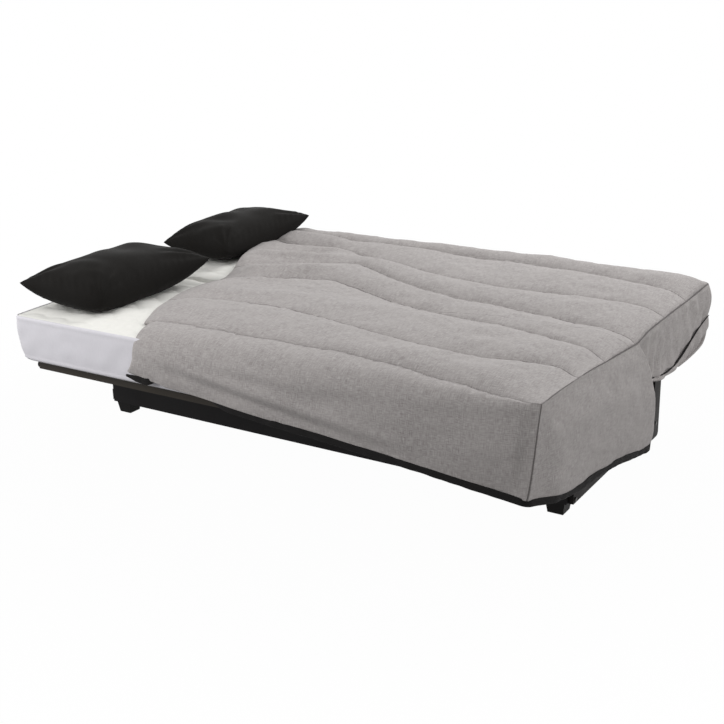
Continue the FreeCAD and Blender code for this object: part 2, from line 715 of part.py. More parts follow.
def quilted_top(side, sign, head_outer):
    """The quilted top of one half, cut off along the slanting head edge."""
    foot, seam, puff = v("cover_foot"), v("cover_seam"), v("cover_puff")
    stations = [(-v("mattress_head"), 0, 1), (foot - v("end_turn"), 0, 1), (foot, -4, 0.4)]
    body = loft([quilt_section(x, sign, seam + drop, puff * share) for x, drop, share in stations])
    outer = sign * (cover_edge + v("edge_turn"))
    fold = -v("cover_head_fold")
    corners = [(fold, 0), (-head_outer, outer), (foot + 5, outer), (foot + 5, 0)]
    low = mattress_bottom
    keep_zone = prism([((x, y, low), None) for x, y in corners], (0, 0, 2 * v("mattress_thick")))
    soft(f"{side}_cover_top", body.common(keep_zone))


def folded_cloth(start, end, outer, low, high, waves, depth, along_x):
    """A hanging panel: flat at its top edge, in soft folds at its lower edge."""
    thick = v("cloth") * (-1 if outer > 0 else 1)
    step = (end - start) / waves

    def section(height, swing):
        line = []
        for shift, order in ((0, range(waves + 1)), (thick, range(waves, -1, -1))):
            for place, i in enumerate(order):
                spot = start + i * step
                bulge = swing if min(i, order[place - 1]) % 2 else -swing
                middle = (spot + (start + order[place - 1] * step)) / 2
                arc = None if place == 0 else (middle, outer + shift + bulge)
                line.append(((spot, outer + shift), arc))
        turn = (lambda a, b: (a, b, height)) if along_x else (lambda a, b: (b, a, height))
        return [(turn(*spot), None if arc is None else turn(*arc)) for spot, arc in line]

    return loft([section(high, 0.3), section(low, depth)])


def front_skirt():
    """The front skirt and its share of the dark hem, cut along the slanting lower edge."""
    head, past, depth = -v("cover_head_front"), v("skirt_past"), v("fold_depth")
    lows = [(cover_outer, v("skirt_foot_low")), (cover_outer - v("skirt_level"), v("skirt_foot_low")),
            (v("skirt_mid"), v("skirt_mid_low")), (head - past, v("skirt_head_low"))]
    hem = v("hem")
    sheet_body = folded_cloth(head - past, cover_outer, depth - cover_edge, v("skirt_foot_low") - hem,
                              cover_under, 7, depth, True)
    front = -cover_edge - hem
    reach = (0, v("cloth") + 3 * hem, 0)
    upper = [((x, front, z + hem), None) for x, z in lows]
    top = [((head, front, cover_under), None), ((cover_outer, front, cover_under), None)]
    soft("seat_cover_front_skirt", sheet_body.common(prism(upper + top, reach)))
    lower = [((x, front, z), None) for x, z in reversed(lows)]
    return sheet_body.common(prism(upper + lower, reach))


def panel_front():
    """Front edge of the end panel, just behind the deepest fold of the front skirt."""
    return cover_edge - v("cloth") - 2 * v("fold_depth") - v("soft_gap")


def end_panel_hem():
    """Lower edge of the seat's end panel from the front corner to the rear one."""
    return [(-panel_front(), v("skirt_foot_low")), (-cover_edge * 0.57, v("end_hem_mid") + 4),
            (-cover_edge * 0.18, v("end_hem_mid") - 14), (v("notch_half") * 1.3, v("end_hem_rear"))]


def crown_middle():
    """Distance and height of the top of the mattress crown, under the cover."""
    border = v("mattress_half") - v("mattress_round")
    return (border + v("fold_relief")) / 2, cover_under + v("mattress_crown")


def seat_end_panel():
    """The seat's end panel, whose rear edge slants down from the fold, and its share of the hem."""
    thick, hem = v("cloth"), v("hem")
    border = v("mattress_half") - v("mattress_round")
    x = cover_outer - thick
    lows = end_panel_hem()
    rear = [((x, v("notch_half") * 1.7, v("end_hem_rear") + v("panel_corner")), None),
            ((x, v("notch_half") * 1.25, v("panel_knee")), None),
            ((x, 0, hinge_z.number), None), ((x, -v("fold_relief"), cover_under), None)]
    middle, peak = crown_middle()
    crown = [((x, -border, cover_under), (x, -middle, peak)), ((x, -panel_front(), cover_under), None)]
    upper = [((x, y, z + hem), None) for y, z in lows]
    soft("seat_cover_end_panel", prism(upper + rear + crown, (thick, 0, 0)))
    lower = [((x, y, z), None) for y, z in reversed(lows)]
    return prism(upper + lower, (thick, 0, 0))


def back_outline(x, inset):
    """The back cover's outside, or its inside, from the top edge round to the underside."""
    under = v("back_under")
    rail = frame_reach.number + v("plate")
    turn = 2 * v("cloth")
    return [((x, cover_edge - inset, cover_under), None),
            ((x, cover_edge + v("fold_depth") - inset, under + v("back_turn")),
             (x, cover_edge + v("back_bulge") - inset, v("bulge_height"))),
            ((x, rail, under + inset), (x, cover_edge - 1.5 * v("cloth") - inset, under + turn + inset)),
            ((x, v("leg_front") + v("leg_width") + v("under_clear"), under + inset), None)]


def reversed_line(line):
    """The same points and arcs from the last to the first."""
    arcs = [arc for point, arc in line[1:]] + [None]
    return [(point, arc) for (point, old), arc in zip(reversed(line), reversed(arcs))]


def back_cover():
    """The back's cover round its outer edge and under the frame, its end panel and piping."""
    x = v("mattress_foot") + 1
    head = -v("cover_head_rear")
    section = back_outline(head, 0) + reversed_line(back_outline(head, v("under_cloth")))
    soft("back_cover_rear_panel", prism(section, (x - head, 0, 0)))
    relief, under = v("fold_relief"), v("back_under")
    middle, peak = crown_middle()
    tail = [((x, v("notch_half") * 1.5, under + v("back_turn") / 3), None),
            ((x, relief, under + v("back_turn") / 2), None), ((x, relief, cover_under), None),
            ((x, v("mattress_half") - v("mattress_round"), cover_under), (x, middle, peak))]
    soft("back_cover_end_panel", prism(back_outline(x, 0)[:3] + tail, (v("cloth"), 0, 0)))
    face = x + v("cloth") + v("piping")
    start = Vector(face, v("notch_half") * 1.85, under + v("piping_low"))
    path = Vector(face, frame_reach.number, under + v("piping_low") + v("piping_rise")) - start
    soft("back_cover_piping", Part.makeCylinder(v("piping"), path.Length, start, path))


# Slope that keeps the pillows of both halves apart when the bed folds
FOLD_SLOPE = 0.74


def pillow(label, centre_x, sign, rest_z, shift):
    """A pillow: lens sections, thin and wide at the ends, full and drawn in along the middle."""
    width, thick, pinch = v("pillow_width"), v("pillow_thick"), v("pillow_pinch")
    length = v("pillow_length")
    inner = v("mattress_half") - v("pillow_inset") + shift - length
    shares = [(0, 0.05, 0), (0.07, 0.5, 0.5), (0.22, 0.8, 1), (0.5, 1, 1), (0.78, 0.85, 1),
              (0.93, 0.55, 0.5), (1, 0.05, 0)]
    sections = []
    for along, fullness, drawn in shares:
        distance = inner + length * along
        half_thick = thick / 2 * fullness
        middle = rest_z + thick / 2
        ceiling = hinge_z.number + FOLD_SLOPE * distance
        middle = min(middle, ceiling - half_thick)
        bottom = max(rest_z, middle - half_thick)
        half_width = width / 2 - pinch * drawn
        y = sign * distance
        sections.append([((centre_x - half_width, y, middle), (centre_x, y, bottom)),
                         ((centre_x + half_width, y, middle), (centre_x, y, middle + half_thick))])
    soft(label, loft(sections))


storage_base()
links()
carriage()
pawls()
half_frame("seat", -1, seat_arm_x, seat_arm_x, False)
half_frame("back", 1, back_arm_x, back_arm_x, True)
mattress("seat", -1)
mattress("back", 1)
quilted_top("seat", -1, v("cover_head_front"))
quilted_top("back", 1, v("cover_head_rear"))
skirt_hem = front_skirt()
end_hem = seat_end_panel()
soft("seat_cover_hem", Part.Compound([skirt_hem, end_hem]))
back_cover()
mattress_top = mattress_edge + v("mattress_crown")
pillow("pillow_front", -v("pillow_front_x"), -1, mattress_top + v("cover_step"), 0)
pillow("pillow_rear", -v("pillow_rear_x"), 1, v("cover_seam") + v("pillow_perch"), v("pillow_shift"))

doc.recompute()
for thing in doc.Objects:
    if "Invalid" in thing.State or "Error" in thing.State:
        raise SystemExit(f"{thing.Label} failed: {thing.State}")
labels = [piece.Label for piece in pieces]
if len(set(labels)) != len(labels):
    raise SystemExit("two pieces share a name")
for piece in pieces:
    if piece.Shape.isNull() or not piece.Shape.isValid() or piece.Shape.Volume <= 0:
        raise SystemExit(f"{piece.Label} has no valid solid")
os.makedirs("parts", exist_ok=True)
for piece in pieces:
    piece.Shape.exportStep(f"parts/{piece.Label}.step")
print(len(pieces), "pieces")
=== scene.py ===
import math

import bmesh
import bpy
import numpy as np
from mathutils import Matrix, Vector


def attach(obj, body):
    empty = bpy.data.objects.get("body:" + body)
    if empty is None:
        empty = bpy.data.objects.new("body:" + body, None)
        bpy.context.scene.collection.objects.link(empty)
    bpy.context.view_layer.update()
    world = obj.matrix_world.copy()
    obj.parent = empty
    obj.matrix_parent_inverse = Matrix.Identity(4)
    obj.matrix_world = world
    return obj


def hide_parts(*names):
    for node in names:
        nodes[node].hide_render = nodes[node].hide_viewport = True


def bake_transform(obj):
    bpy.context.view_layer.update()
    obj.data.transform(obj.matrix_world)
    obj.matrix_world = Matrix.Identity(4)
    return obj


# A click clack sofa bed opened flat. X runs along the bed from the pillows to the foot end, Y across it
# from the seat half to the back half with the fold at Y = 0, and Z is the height above the floor.
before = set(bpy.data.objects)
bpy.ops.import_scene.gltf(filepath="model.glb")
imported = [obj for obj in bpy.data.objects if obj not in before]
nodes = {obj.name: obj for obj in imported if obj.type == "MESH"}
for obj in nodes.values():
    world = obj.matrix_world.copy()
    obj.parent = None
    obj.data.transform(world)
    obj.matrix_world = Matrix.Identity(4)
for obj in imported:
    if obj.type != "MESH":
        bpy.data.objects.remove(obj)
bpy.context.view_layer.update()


def put_in(name, data):
    """A new object in the scene that holds a camera, a lamp or a mesh."""
    thing = bpy.data.objects.new(name, data)
    bpy.context.scene.collection.objects.link(thing)
    return thing


# Camera at the photograph's viewpoint: in front of the foot end corner, looking back along the bed and down
# on it, with a slight roll.
eye = (2.057, -3.199, 1.526)
bearing, tilt, roll = (math.radians(angle) for angle in (32.833, 18.688, -1.415))
ahead = Vector((-math.sin(bearing) * math.cos(tilt), math.cos(bearing) * math.cos(tilt), -math.sin(tilt)))
level = Vector((math.cos(bearing), math.sin(bearing), 0))
aside = level * math.cos(roll) + level.cross(ahead) * math.sin(roll)
upward = aside.cross(ahead)
camera = put_in("camera", bpy.data.cameras.new("camera"))
camera.matrix_world = Matrix.Translation(eye) @ Matrix((aside, upward, -ahead)).transposed().to_4x4()
camera.data.sensor_width = 36
camera.data.lens = 58.17
bpy.context.scene.camera = camera
bpy.context.scene.view_settings.view_transform = "Standard"


class Value:
    """A socket's value in a finish. Sums, differences and products of values become Math nodes."""

    def __init__(self, finish, socket):
        self.finish, self.socket = finish, socket

    def maths(self, operation, *others):
        """A Math node of that operation on the others."""
        return self.finish.add("Math", {"operation": operation}, dict(enumerate(others)))

    def __add__(self, other):
        return self.maths("ADD", self, other)

    def __radd__(self, other):
        return self.maths("ADD", other, self)

    def __sub__(self, other):
        return self.maths("SUBTRACT", self, other)

    def __rsub__(self, other):
        return self.maths("SUBTRACT", other, self)

    def __mul__(self, other):
        return self.maths("MULTIPLY", self, other)

    def __rmul__(self, other):
        return self.maths("MULTIPLY", other, self)

    def over(self, low, high, start=0.0, end=1.0):
        """This value from low to high, carried to start to end with soft ends."""
        return self.finish.add("MapRange", {"interpolation_type": "SMOOTHSTEP"},
                               {0: self, 1: low, 2: high, 3: start, 4: end})


def paint(red, green, blue):
    """A colour as seen on screen, 0 to 255, turned to the linear colour that a shader takes."""
    return tuple(((c / 255 + 0.055) / 1.055) ** 2.4 for c in (red, green, blue)) + (1.0,)


class Finish:
    """A material under construction: one Principled shader, its fixed sockets, and the nodes that feed it."""

    def __init__(self, name, **fixed):
        self.material = bpy.data.materials.new(name)
        self.material.use_nodes = True
        self.tree = self.material.node_tree
        self.shader = self.tree.nodes["Principled BSDF"]
        self.feed(**fixed)

    def add(self, kind, settings=None, inputs=None, out=0):
        """Puts in a node, its settings first, then its sockets' values or links, and gives one output."""
        node = self.tree.nodes.new("ShaderNode" + kind)
        for key, value in (settings or {}).items():
            setattr(node, key, value)
        for key, value in (inputs or {}).items():
            if isinstance(value, Value):
                self.tree.links.new(value.socket, node.inputs[key])
            else:
                node.inputs[key].default_value = value
        return Value(self, node.outputs[out])

    def feed(self, **sockets):
        """Sets or links sockets of the shader, named with _ for a space."""
        for key, value in sockets.items():
            socket = self.shader.inputs[key.replace("_", " ")]
            if isinstance(value, Value):
                self.tree.links.new(value.socket, socket)
            else:
                socket.default_value = value

    def place(self, stretch=(1, 1, 1), cloth=False):
        """Where a point is, times stretch: along the cloth of the piece, or on the object, in metres."""
        where = self.add("TexCoord", out="UV" if cloth else "Object")
        return self.add("Mapping", None, {"Vector": where, "Scale": stretch})

    def grain(self, where, scale, detail=2.0, rough=0.5):
        """Soft noise from 0 to 1 with that many swells to the metre."""
        return self.add("TexNoise", None, {"Vector": where, "Scale": scale, "Detail": detail,
                                           "Roughness": rough})

    def mix(self, share, one, other):
        """A colour between two others."""
        return self.add("Mix", {"data_type": "RGBA"}, {0: share, 6: one, 7: other}, 2)

    def relief(self, height, depth, strength=1.0):
        """Bump of that depth in metres, from a height of 0 to 1."""
        self.feed(Normal=self.add("Bump", None, {"Height": height, "Distance": depth, "Strength": strength}))


# Studio: a pale floor that turns to the white backdrop away from the bed and keeps its faint shadow, a soft
# lamp over the bed, one at its head and front and one at its foot, and an even sky.
floor_mesh = bpy.data.meshes.new("floor")
reach = 40
floor_mesh.from_pydata([(-reach, -reach, 0), (reach, -reach, 0), (reach, reach, 0), (-reach, reach, 0)], [],
                       [(0, 1, 2, 3)])
floor = put_in("floor", floor_mesh)
backdrop = Finish("studio_floor", Base_Color=(0.36, 0.36, 0.36, 1), Roughness=0.9, Specular_IOR_Level=0.0)
away = backdrop.add("VectorMath", {"operation": "LENGTH"}, {0: backdrop.place()}, "Value")
rays = backdrop.add("LightPath")
seen = rays
for kind in ("Is Glossy Ray", "Is Transmission Ray"):
    seen = seen.maths("MAXIMUM", seen, Value(backdrop, rays.socket.node.outputs[kind]))
glow = backdrop.add("Emission", None, {"Color": (1, 1, 1, 1), "Strength": 1.0})
pale = backdrop.add("MixShader", None, {0: seen * away.over(0.9, 2.2, 0.98, 1.0),
                                        1: Value(backdrop, backdrop.shader.outputs[0]), 2: glow})
backdrop.tree.links.new(pale.socket, backdrop.tree.nodes["Material Output"].inputs["Surface"])
floor_mesh.materials.append(backdrop.material)

sky = bpy.data.worlds.new("sky")
bpy.context.scene.world = sky
sky.use_nodes = True
sky_tree = sky.node_tree
sky_light, sky_seen = sky_tree.nodes["Background"], sky_tree.nodes.new("ShaderNodeBackground")
for shade, strength in ((sky_light, 0.40), (sky_seen, 1.0)):
    shade.inputs["Color"].default_value = (1, 1, 1, 1)
    shade.inputs["Strength"].default_value = strength
sky_rays, sky_any, sky_mix = (sky_tree.nodes.new("ShaderNode" + kind)
                              for kind in ("LightPath", "Math", "MixShader"))
sky_any.operation = "MAXIMUM"
for source, target in ((sky_rays.outputs["Is Camera Ray"], sky_any.inputs[0]),
                       (sky_rays.outputs["Is Glossy Ray"], sky_any.inputs[1]),
                       (sky_any.outputs[0], sky_mix.inputs[0]),
                       (sky_light.outputs[0], sky_mix.inputs[1]),
                       (sky_seen.outputs[0], sky_mix.inputs[2]),
                       (sky_mix.outputs[0], sky_tree.nodes["World Output"].inputs["Surface"])):
    sky_tree.links.new(source, target)

for name, place, aim, size, watts in (("over_bed", (0.4, 2.9, 2.9), (0.1, 0.1, 0.3), 2.0, 88),
                                      ("head_front", (-1.7, -2.3, 2.0), (0.0, -0.4, 0.35), 1.8, 56),
                                      ("foot_fill", (4.0, 0.6, 2.0), (0.6, 0.0, 0.3), 2.4, 56)):
    lamp = put_in(name, bpy.data.lights.new(name, "AREA"))
    lamp.data.size, lamp.data.energy = size, watts
    lamp.location = place
    lamp.rotation_euler = (Vector(aim) - Vector(place)).to_track_quat("-Z", "Y").to_euler()


def dress(finish, *names):
    """Puts a finish on carried-over nodes."""
    for name in names:
        mesh = nodes[name].data
        mesh.materials.clear()
        mesh.materials.append(finish.material)


def satin_paint(name, shine, clouds, tones, bare, wear, gloss):
    """Satin paint on steel: clouded between two tones, with an orange-peel skin, and rubbed towards the bare
    tone on edges, where the surface is pointed."""
    coat = Finish(name, Metallic=0.0, Specular_IOR_Level=shine)
    skin = coat.grain(coat.place(), 900, 2)
    cast = coat.grain(coat.place(), clouds, 3)
    rubbed = coat.add("NewGeometry", out="Pointiness").over(0.52, 0.6)
    colour = coat.mix(cast, *(paint(*tone) for tone in tones))
    coat.feed(Base_Color=coat.mix(rubbed * wear, colour, paint(*bare)), Roughness=cast.over(0.2, 0.8, *gloss))
    coat.relief(skin, 0.00025, 0.35)
    return coat


# Frames, base, links and carriage: square steel tube and cut steel plate, welded. The two mattress frames
# have a satin dark brown paint, the base and the mechanism a black one. Both have an orange-peel skin and
# rub a little paler on their edges.
steel = satin_paint("painted_steel", 0.14, 9, ((23, 20, 18), (38, 34, 29)), (66, 60, 53), 0.5, (0.36, 0.5))
dress(steel, "seat_end_tube_left", "seat_end_tube_right", "seat_front_rail", "seat_inner_rail",
      "back_end_tube_left", "back_end_tube_right", "back_inner_rail", "back_rear_rail")
black = satin_paint("black_steel", 0.06, 11, ((8, 6, 7), (16, 14, 15)), (52, 49, 48), 0.4, (0.42, 0.58))
dress(black, "base_front_tube", "base_rear_tube", "mechanism_plate_left", "mechanism_plate_right",
      "rear_leg_left", "rear_leg_right", "link_front_left", "link_front_right", "link_rear_left",
      "link_rear_right", "carriage_plate_left", "carriage_plate_right", "carriage_tube",
      "seat_arm_left", "seat_arm_right", "back_arm_left", "back_arm_right")

# Bedding box: a floor on the base's tubes, boards along their outer faces and one at each end, sawn from
# black laminated board with a fine pressed grain along X and a slight sheen.
board = Finish("black_board", Specular_IOR_Level=0.10)
fibre = board.grain(board.place((6, 260, 260)), 1, 4, 0.6)
haze = board.grain(board.place(), 5, 3)
board.feed(Base_Color=board.mix(fibre * 0.7, paint(12, 10, 11), paint(23, 21, 22)),
           Roughness=haze.over(0.2, 0.8, 0.42, 0.6))
board.relief(fibre, 0.0002, 0.4)
dress(board, "storage_floor", "storage_front_board", "storage_rear_board", "storage_end_board_left",
      "storage_end_board_right")

# Feet, rail caps and slat holders: black plastic, each moulded in one piece and pushed onto the steel. The
# mould leaves a fine even stipple on them.
moulded = Finish("black_plastic", Specular_IOR_Level=0.08)
stipple = moulded.grain(moulded.place(), 1400, 1)
worn = moulded.grain(moulded.place(), 30, 3)
moulded.feed(Base_Color=moulded.mix(worn, paint(8, 7, 7), paint(16, 14, 13)),
             Roughness=stipple.over(0.3, 0.7, 0.45, 0.62))
moulded.relief(stipple, 0.0003, 0.4)
dress(moulded, "front_foot_left", "front_foot_right", "seat_rail_caps", "back_rail_caps",
      "seat_slat_holders", "back_slat_holders")

# Rest pads: small blocks of black rubber on the base, on which the seat's frame lies when the bed is open.
# They are matt and slightly dusty.
rubber = Finish("pad_rubber", Specular_IOR_Level=0.15)
dust = rubber.grain(rubber.place(), 60, 4, 0.6)
rubber.feed(Base_Color=rubber.mix(dust, paint(20, 20, 20), paint(44, 42, 41)),
            Roughness=dust.over(0, 1, 0.7, 0.9))
rubber.relief(dust, 0.0004, 0.4)
dress(rubber, "rest_pads")

# Bolts, pins and pawls: turned and cut steel with a black zinc plating, brushed round by the tool and cloudy
# in places. They hold the plates, links and arms together and lock the back.
zinc = Finish("zinc_steel", Metallic=1.0)
brushed = zinc.grain(zinc.place((40, 900, 900)), 1, 3)
cloudy = zinc.grain(zinc.place(), 70, 2)
zinc.feed(Base_Color=zinc.mix(cloudy, paint(52, 51, 50), paint(78, 77, 74)),
          Roughness=(brushed * 0.5 + cloudy * 0.5).over(0.2, 0.8, 0.25, 0.5))
zinc.relief(brushed, 0.0001, 0.4)
dress(zinc, "base_bolts", "link_lower_pins", "link_upper_pins", "hinge_pin_left", "hinge_pin_right",
      "pawl_pins", "pawl_left", "pawl_right")

# Slats: sprung beech laths that lie across the frames in their holders and carry the mattress. They have a
# clear lacquer, and the grain runs along each lath.
beech = Finish("beech_slat", Coat_Weight=0.25, Coat_Roughness=0.3)
rings = beech.add("TexWave", {"wave_type": "BANDS", "bands_direction": "X"},
                  {"Vector": beech.place((1, 0.08, 1)), "Scale": 55, "Distortion": 5, "Detail": 3,
                   "Detail Scale": 1.5})
pores = beech.grain(beech.place((1, 0.03, 1)), 1500, 2)
wood = beech.mix(rings * 0.6 + pores * 0.3, paint(214, 182, 138), paint(182, 142, 98))
beech.feed(Base_Color=wood, Roughness=pores.over(0.3, 0.7, 0.35, 0.5))
beech.relief(pores, 0.0002, 0.3)
dress(beech, "seat_slats", "back_slats")


# Mattress halves: foam in a knitted cover, a white top panel quilted in soft waves and a plain pale grey
# border sewn to it at a taped edge. The halves meet at the fold and lie on the slats.
mattress_under, mattress_edge, mattress_crown = 0.2955, 0.445, 0.014
mattress_half, mattress_head, mattress_foot = 0.658, -0.968, 0.942
mattress_round = 0.022
fold_edge, fold_gap, fold_depth = 0.020, 0.0035, 0.028


def swell(along, across, size, seed, stretch=1.0, waves=26):
    """Even soft unevenness near -1 to 1: the sum of seeded plane waves whose lengths lie round size, longer
    by stretch in the along direction."""
    draw = np.random.default_rng(seed)
    turn = draw.uniform(0, math.tau, waves)
    pitch = math.tau / (size * draw.uniform(0.7, 1.6, waves))
    phase = draw.uniform(0, math.tau, waves)
    total = np.zeros(np.broadcast(along, across).shape)
    for angle, rate, start in zip(turn, pitch, phase):
        total += np.cos(rate * (along / stretch * math.cos(angle) + across * math.sin(angle)) + start)
    return total / math.sqrt(waves)


def smooth(value, low, high):
    """0 below low, 1 above high, and a soft step between."""
    share = np.clip((value - low) / (high - low), 0, 1)
    return share * share * (3 - 2 * share)


def inside_out(points, faces):
    """Whether four-cornered faces look inwards: the sign of the volume that they hold, summed over both
    triangles of each face from the middle of the points."""
    corner = points[faces] - points.mean(0)
    return np.einsum("ij,ij->", corner[:, 0], np.cross(corner[:, 1], corner[:, 2])
                     + np.cross(corner[:, 2], corner[:, 3])) < 0


def shell(name, finish, top, under, cloth, **measures):
    """A closed padded shell: two skins over one grid, top[i, j] and under[i, j], with a rim of faces round
    their shared edge. cloth[i, j] is the place on the cloth in metres, kept as the piece's UV map, and each
    measure is kept as an attribute of its points for the finish."""
    rows, columns = top.shape[:2]
    number = np.arange(rows * columns).reshape(rows, columns)
    skin_faces = np.stack([number[:-1, :-1], number[1:, :-1], number[1:, 1:], number[:-1, 1:]], -1)
    skin_faces = skin_faces.reshape(-1, 4)
    rim = np.concatenate([number[:-1, 0], number[-1, :-1], number[:0:-1, -1], number[0, :0:-1]])
    after = np.roll(rim, -1)
    other = rows * columns
    faces = np.concatenate([skin_faces, skin_faces[:, ::-1] + other,
                            np.stack([rim, rim + other, after + other, after], -1)])
    points = np.concatenate([top.reshape(-1, 3), under.reshape(-1, 3)])
    if inside_out(points, faces):
        faces = faces[:, ::-1]
    mesh = bpy.data.meshes.new(name)
    mesh.vertices.add(len(points))
    mesh.vertices.foreach_set("co", points.astype(np.float32).ravel())
    mesh.loops.add(faces.size)
    mesh.loops.foreach_set("vertex_index", faces.astype(np.int32).ravel())
    mesh.polygons.add(len(faces))
    mesh.polygons.foreach_set("loop_start", np.arange(len(faces), dtype=np.int32) * 4)
    mesh.polygons.foreach_set("use_smooth", np.ones(len(faces), bool))
    flat = np.concatenate([cloth.reshape(-1, 2)] * 2)
    mesh.uv_layers.new(name="cloth").data.foreach_set("uv", flat[faces.ravel()].astype(np.float32).ravel())
    for key, values in measures.items():
        both = np.concatenate([np.broadcast_to(values, (rows, columns)).ravel()] * 2)
        mesh.attributes.new(key, "FLOAT", "POINT").data.foreach_set("value", both.astype(np.float32))
    mesh.update(calc_edges=True)
    mesh.materials.append(finish.material)
    return put_in(name, mesh)


def bed_height(x, y):
    """Height of the mattress: a crown over each half, 1 - t squared from the fold edge to the border, and a
    chamfer from the fold edge down into the fold."""
    away = np.abs(y)
    middle = (mattress_half + fold_edge) / 2
    bow = np.clip(1 - ((away - middle) / (middle - fold_edge)) ** 2, 0, 1)
    ends = smooth(x - mattress_head, 0, 0.06) * smooth(mattress_foot - x, 0, 0.06)
    return (mattress_edge + mattress_crown * bow * (0.3 + 0.7 * ends)
            - fold_depth * np.clip((fold_edge - away) / (fold_edge - fold_gap), 0, 1))


def rounded_plan(length_share, width_share, low, high, near, far, radius):
    """A rectangle from low to high and near to far whose outer corners are rounded: in each corner square
    (a, b) goes to (a sqrt(1 - b b / 2), b sqrt(1 - a a / 2)), which carries a square's rim to a circle."""
    x = low + (high - low) * length_share
    y = near + (far - near) * width_share
    reach_x, reach_y = (high - low) / 2 - radius, abs(far - near) / 2 - radius
    from_x, from_y = x - (low + high) / 2, y - (near + far) / 2
    a = np.clip((np.abs(from_x) - reach_x) / radius, 0, 1)
    b = np.clip((np.abs(from_y) - reach_y) / radius, 0, 1)
    outside = (np.abs(y) > (abs(near) + abs(far)) / 2)
    round_x, round_y = a * np.sqrt(1 - b * b / 2), b * np.sqrt(1 - a * a / 2)
    x = np.where(outside & (a > 0) & (b > 0), x + np.sign(from_x) * (round_x - a) * radius, x)
    y = np.where(outside & (a > 0) & (b > 0), y + np.sign(from_y) * (round_y - b) * radius, y)
    return x, y


def mattress(name, side):
    """A mattress half as one closed shell: the top panel on its rounded plan, and a flat underside that is
    drawn in a little all round and more at the head end."""
    along = np.linspace(0, 1, 330)[:, None]
    across = np.linspace(0, 1, 120)[None, :]
    plan_x, plan_y = rounded_plan(along + 0 * across, across + 0 * along, mattress_head, mattress_foot,
                                  side * fold_gap, side * mattress_half, mattress_round)
    # Quilted waves: the root of the product of two families of sine seams that cross, each pulling the panel
    # down into a soft groove.
    seam_wave, seam_sway, seam_pitch = 0.21, 0.022, 0.105
    wave = seam_sway * np.sin(plan_x * math.tau / seam_wave)
    first, second = (np.abs(np.sin((plan_y + way * wave) * math.pi / seam_pitch)) for way in (1, -1))
    panel_long, panel_wide = 1.89, 0.66
    rim = np.minimum(np.minimum(along, 1 - along) * panel_long,
                     np.minimum(1 - across, across + 0.05) * panel_wide)
    inside = smooth(rim, 0.004, 0.05)
    puff = (np.sqrt(first * second) - 0.55) * 0.0075 + 0.0015 * swell(plan_x, plan_y, 0.16, 3)
    height = bed_height(plan_x, plan_y) + puff * inside - 0.004 * (1 - smooth(rim, 0.0, 0.012))
    top = np.stack([plan_x, plan_y, height], -1)
    under_x = plan_x * 0.99 + 0.040 * smooth(mattress_head + 0.10 - plan_x, 0, 0.12)
    under_y = side * fold_gap + (plan_y - side * fold_gap) * 0.985
    under = np.stack([under_x, under_y, np.full_like(plan_x, mattress_under)], -1)
    return shell(name, ticking, top, under, np.stack([plan_x, plan_y], -1))


def ring_border(name, side):
    """The border of a mattress half: a band round its plan, bulging by a half sine between the taped edges,
    with the tape as a small roll at its top and bottom."""
    turns = np.linspace(0, 1, 521)[:-1]
    band_tall = 0.15
    low, high = mattress_head, mattress_foot
    reach, depth, radius = high - low, mattress_half - fold_gap, mattress_round
    lengths = np.array([depth - radius, math.pi / 2 * radius, reach - 2 * radius, math.pi / 2 * radius,
                        depth - radius, reach])
    ends = np.concatenate([[0], np.cumsum(lengths)])
    run = turns * ends[-1]
    leg = np.clip(np.searchsorted(ends, run, side="right") - 1, 0, 5)
    local = run - ends[leg]
    turn = local / radius
    near, far = fold_gap, mattress_half
    x = np.choose(leg, [0 * run + low, low + radius - radius * np.cos(turn), low + radius + local,
                        high - radius + radius * np.sin(turn), 0 * run + high, high - local])
    y = np.choose(leg, [near + local, far - radius + radius * np.sin(turn), 0 * run + far,
                        far - radius + radius * np.cos(turn), far - radius - local, 0 * run + near])
    nx = np.choose(leg, [0 * run - 1, -np.cos(turn), 0 * run, np.sin(turn), 0 * run + 1, 0 * run])
    ny = np.choose(leg, [0 * run, np.sin(turn), 0 * run + 1, np.cos(turn), 0 * run, 0 * run - 1])
    drop = np.linspace(0, 1, 25)[None, :]
    run, x, y, nx, ny = (value[:, None] for value in (run, x, y, nx, ny))
    loose = np.where(ny < -0.5, 0.0, 1.0)
    out = (0.0055 * np.sin(math.pi * drop) ** 0.6 - 0.002
           + 0.0012 * swell(run, drop * band_tall, 0.09, 8) * np.sin(math.pi * drop)) * loose
    tape = 0.0028 * (np.exp(-((drop - 0.05) / 0.03) ** 2) + np.exp(-((drop - 0.96) / 0.03) ** 2)) * loose
    tuck = 0.030 * smooth(low + 0.10 - x, 0, 0.12) * drop ** 3
    edge = bed_height(x, y * side)
    z = edge + (mattress_under - edge) * drop + 0.006 * smooth(low + 0.06 - x, 0, 0.08) * drop ** 4
    skin_out = np.stack([x + nx * (out + tape) + tuck, side * (y + ny * (out + tape)), z], -1)
    skin_in = np.stack([x - nx * 0.004 + tuck, side * (y - ny * 0.004) + 0 * z, z], -1)
    skin_out, skin_in, run = (np.concatenate([v, v[:1]]) for v in (skin_out, skin_in, run + 0 * drop))
    run[-1] = ends[-1]
    return shell(name, border, skin_out, skin_in, np.stack([run, drop * band_tall + 0 * run], -1))


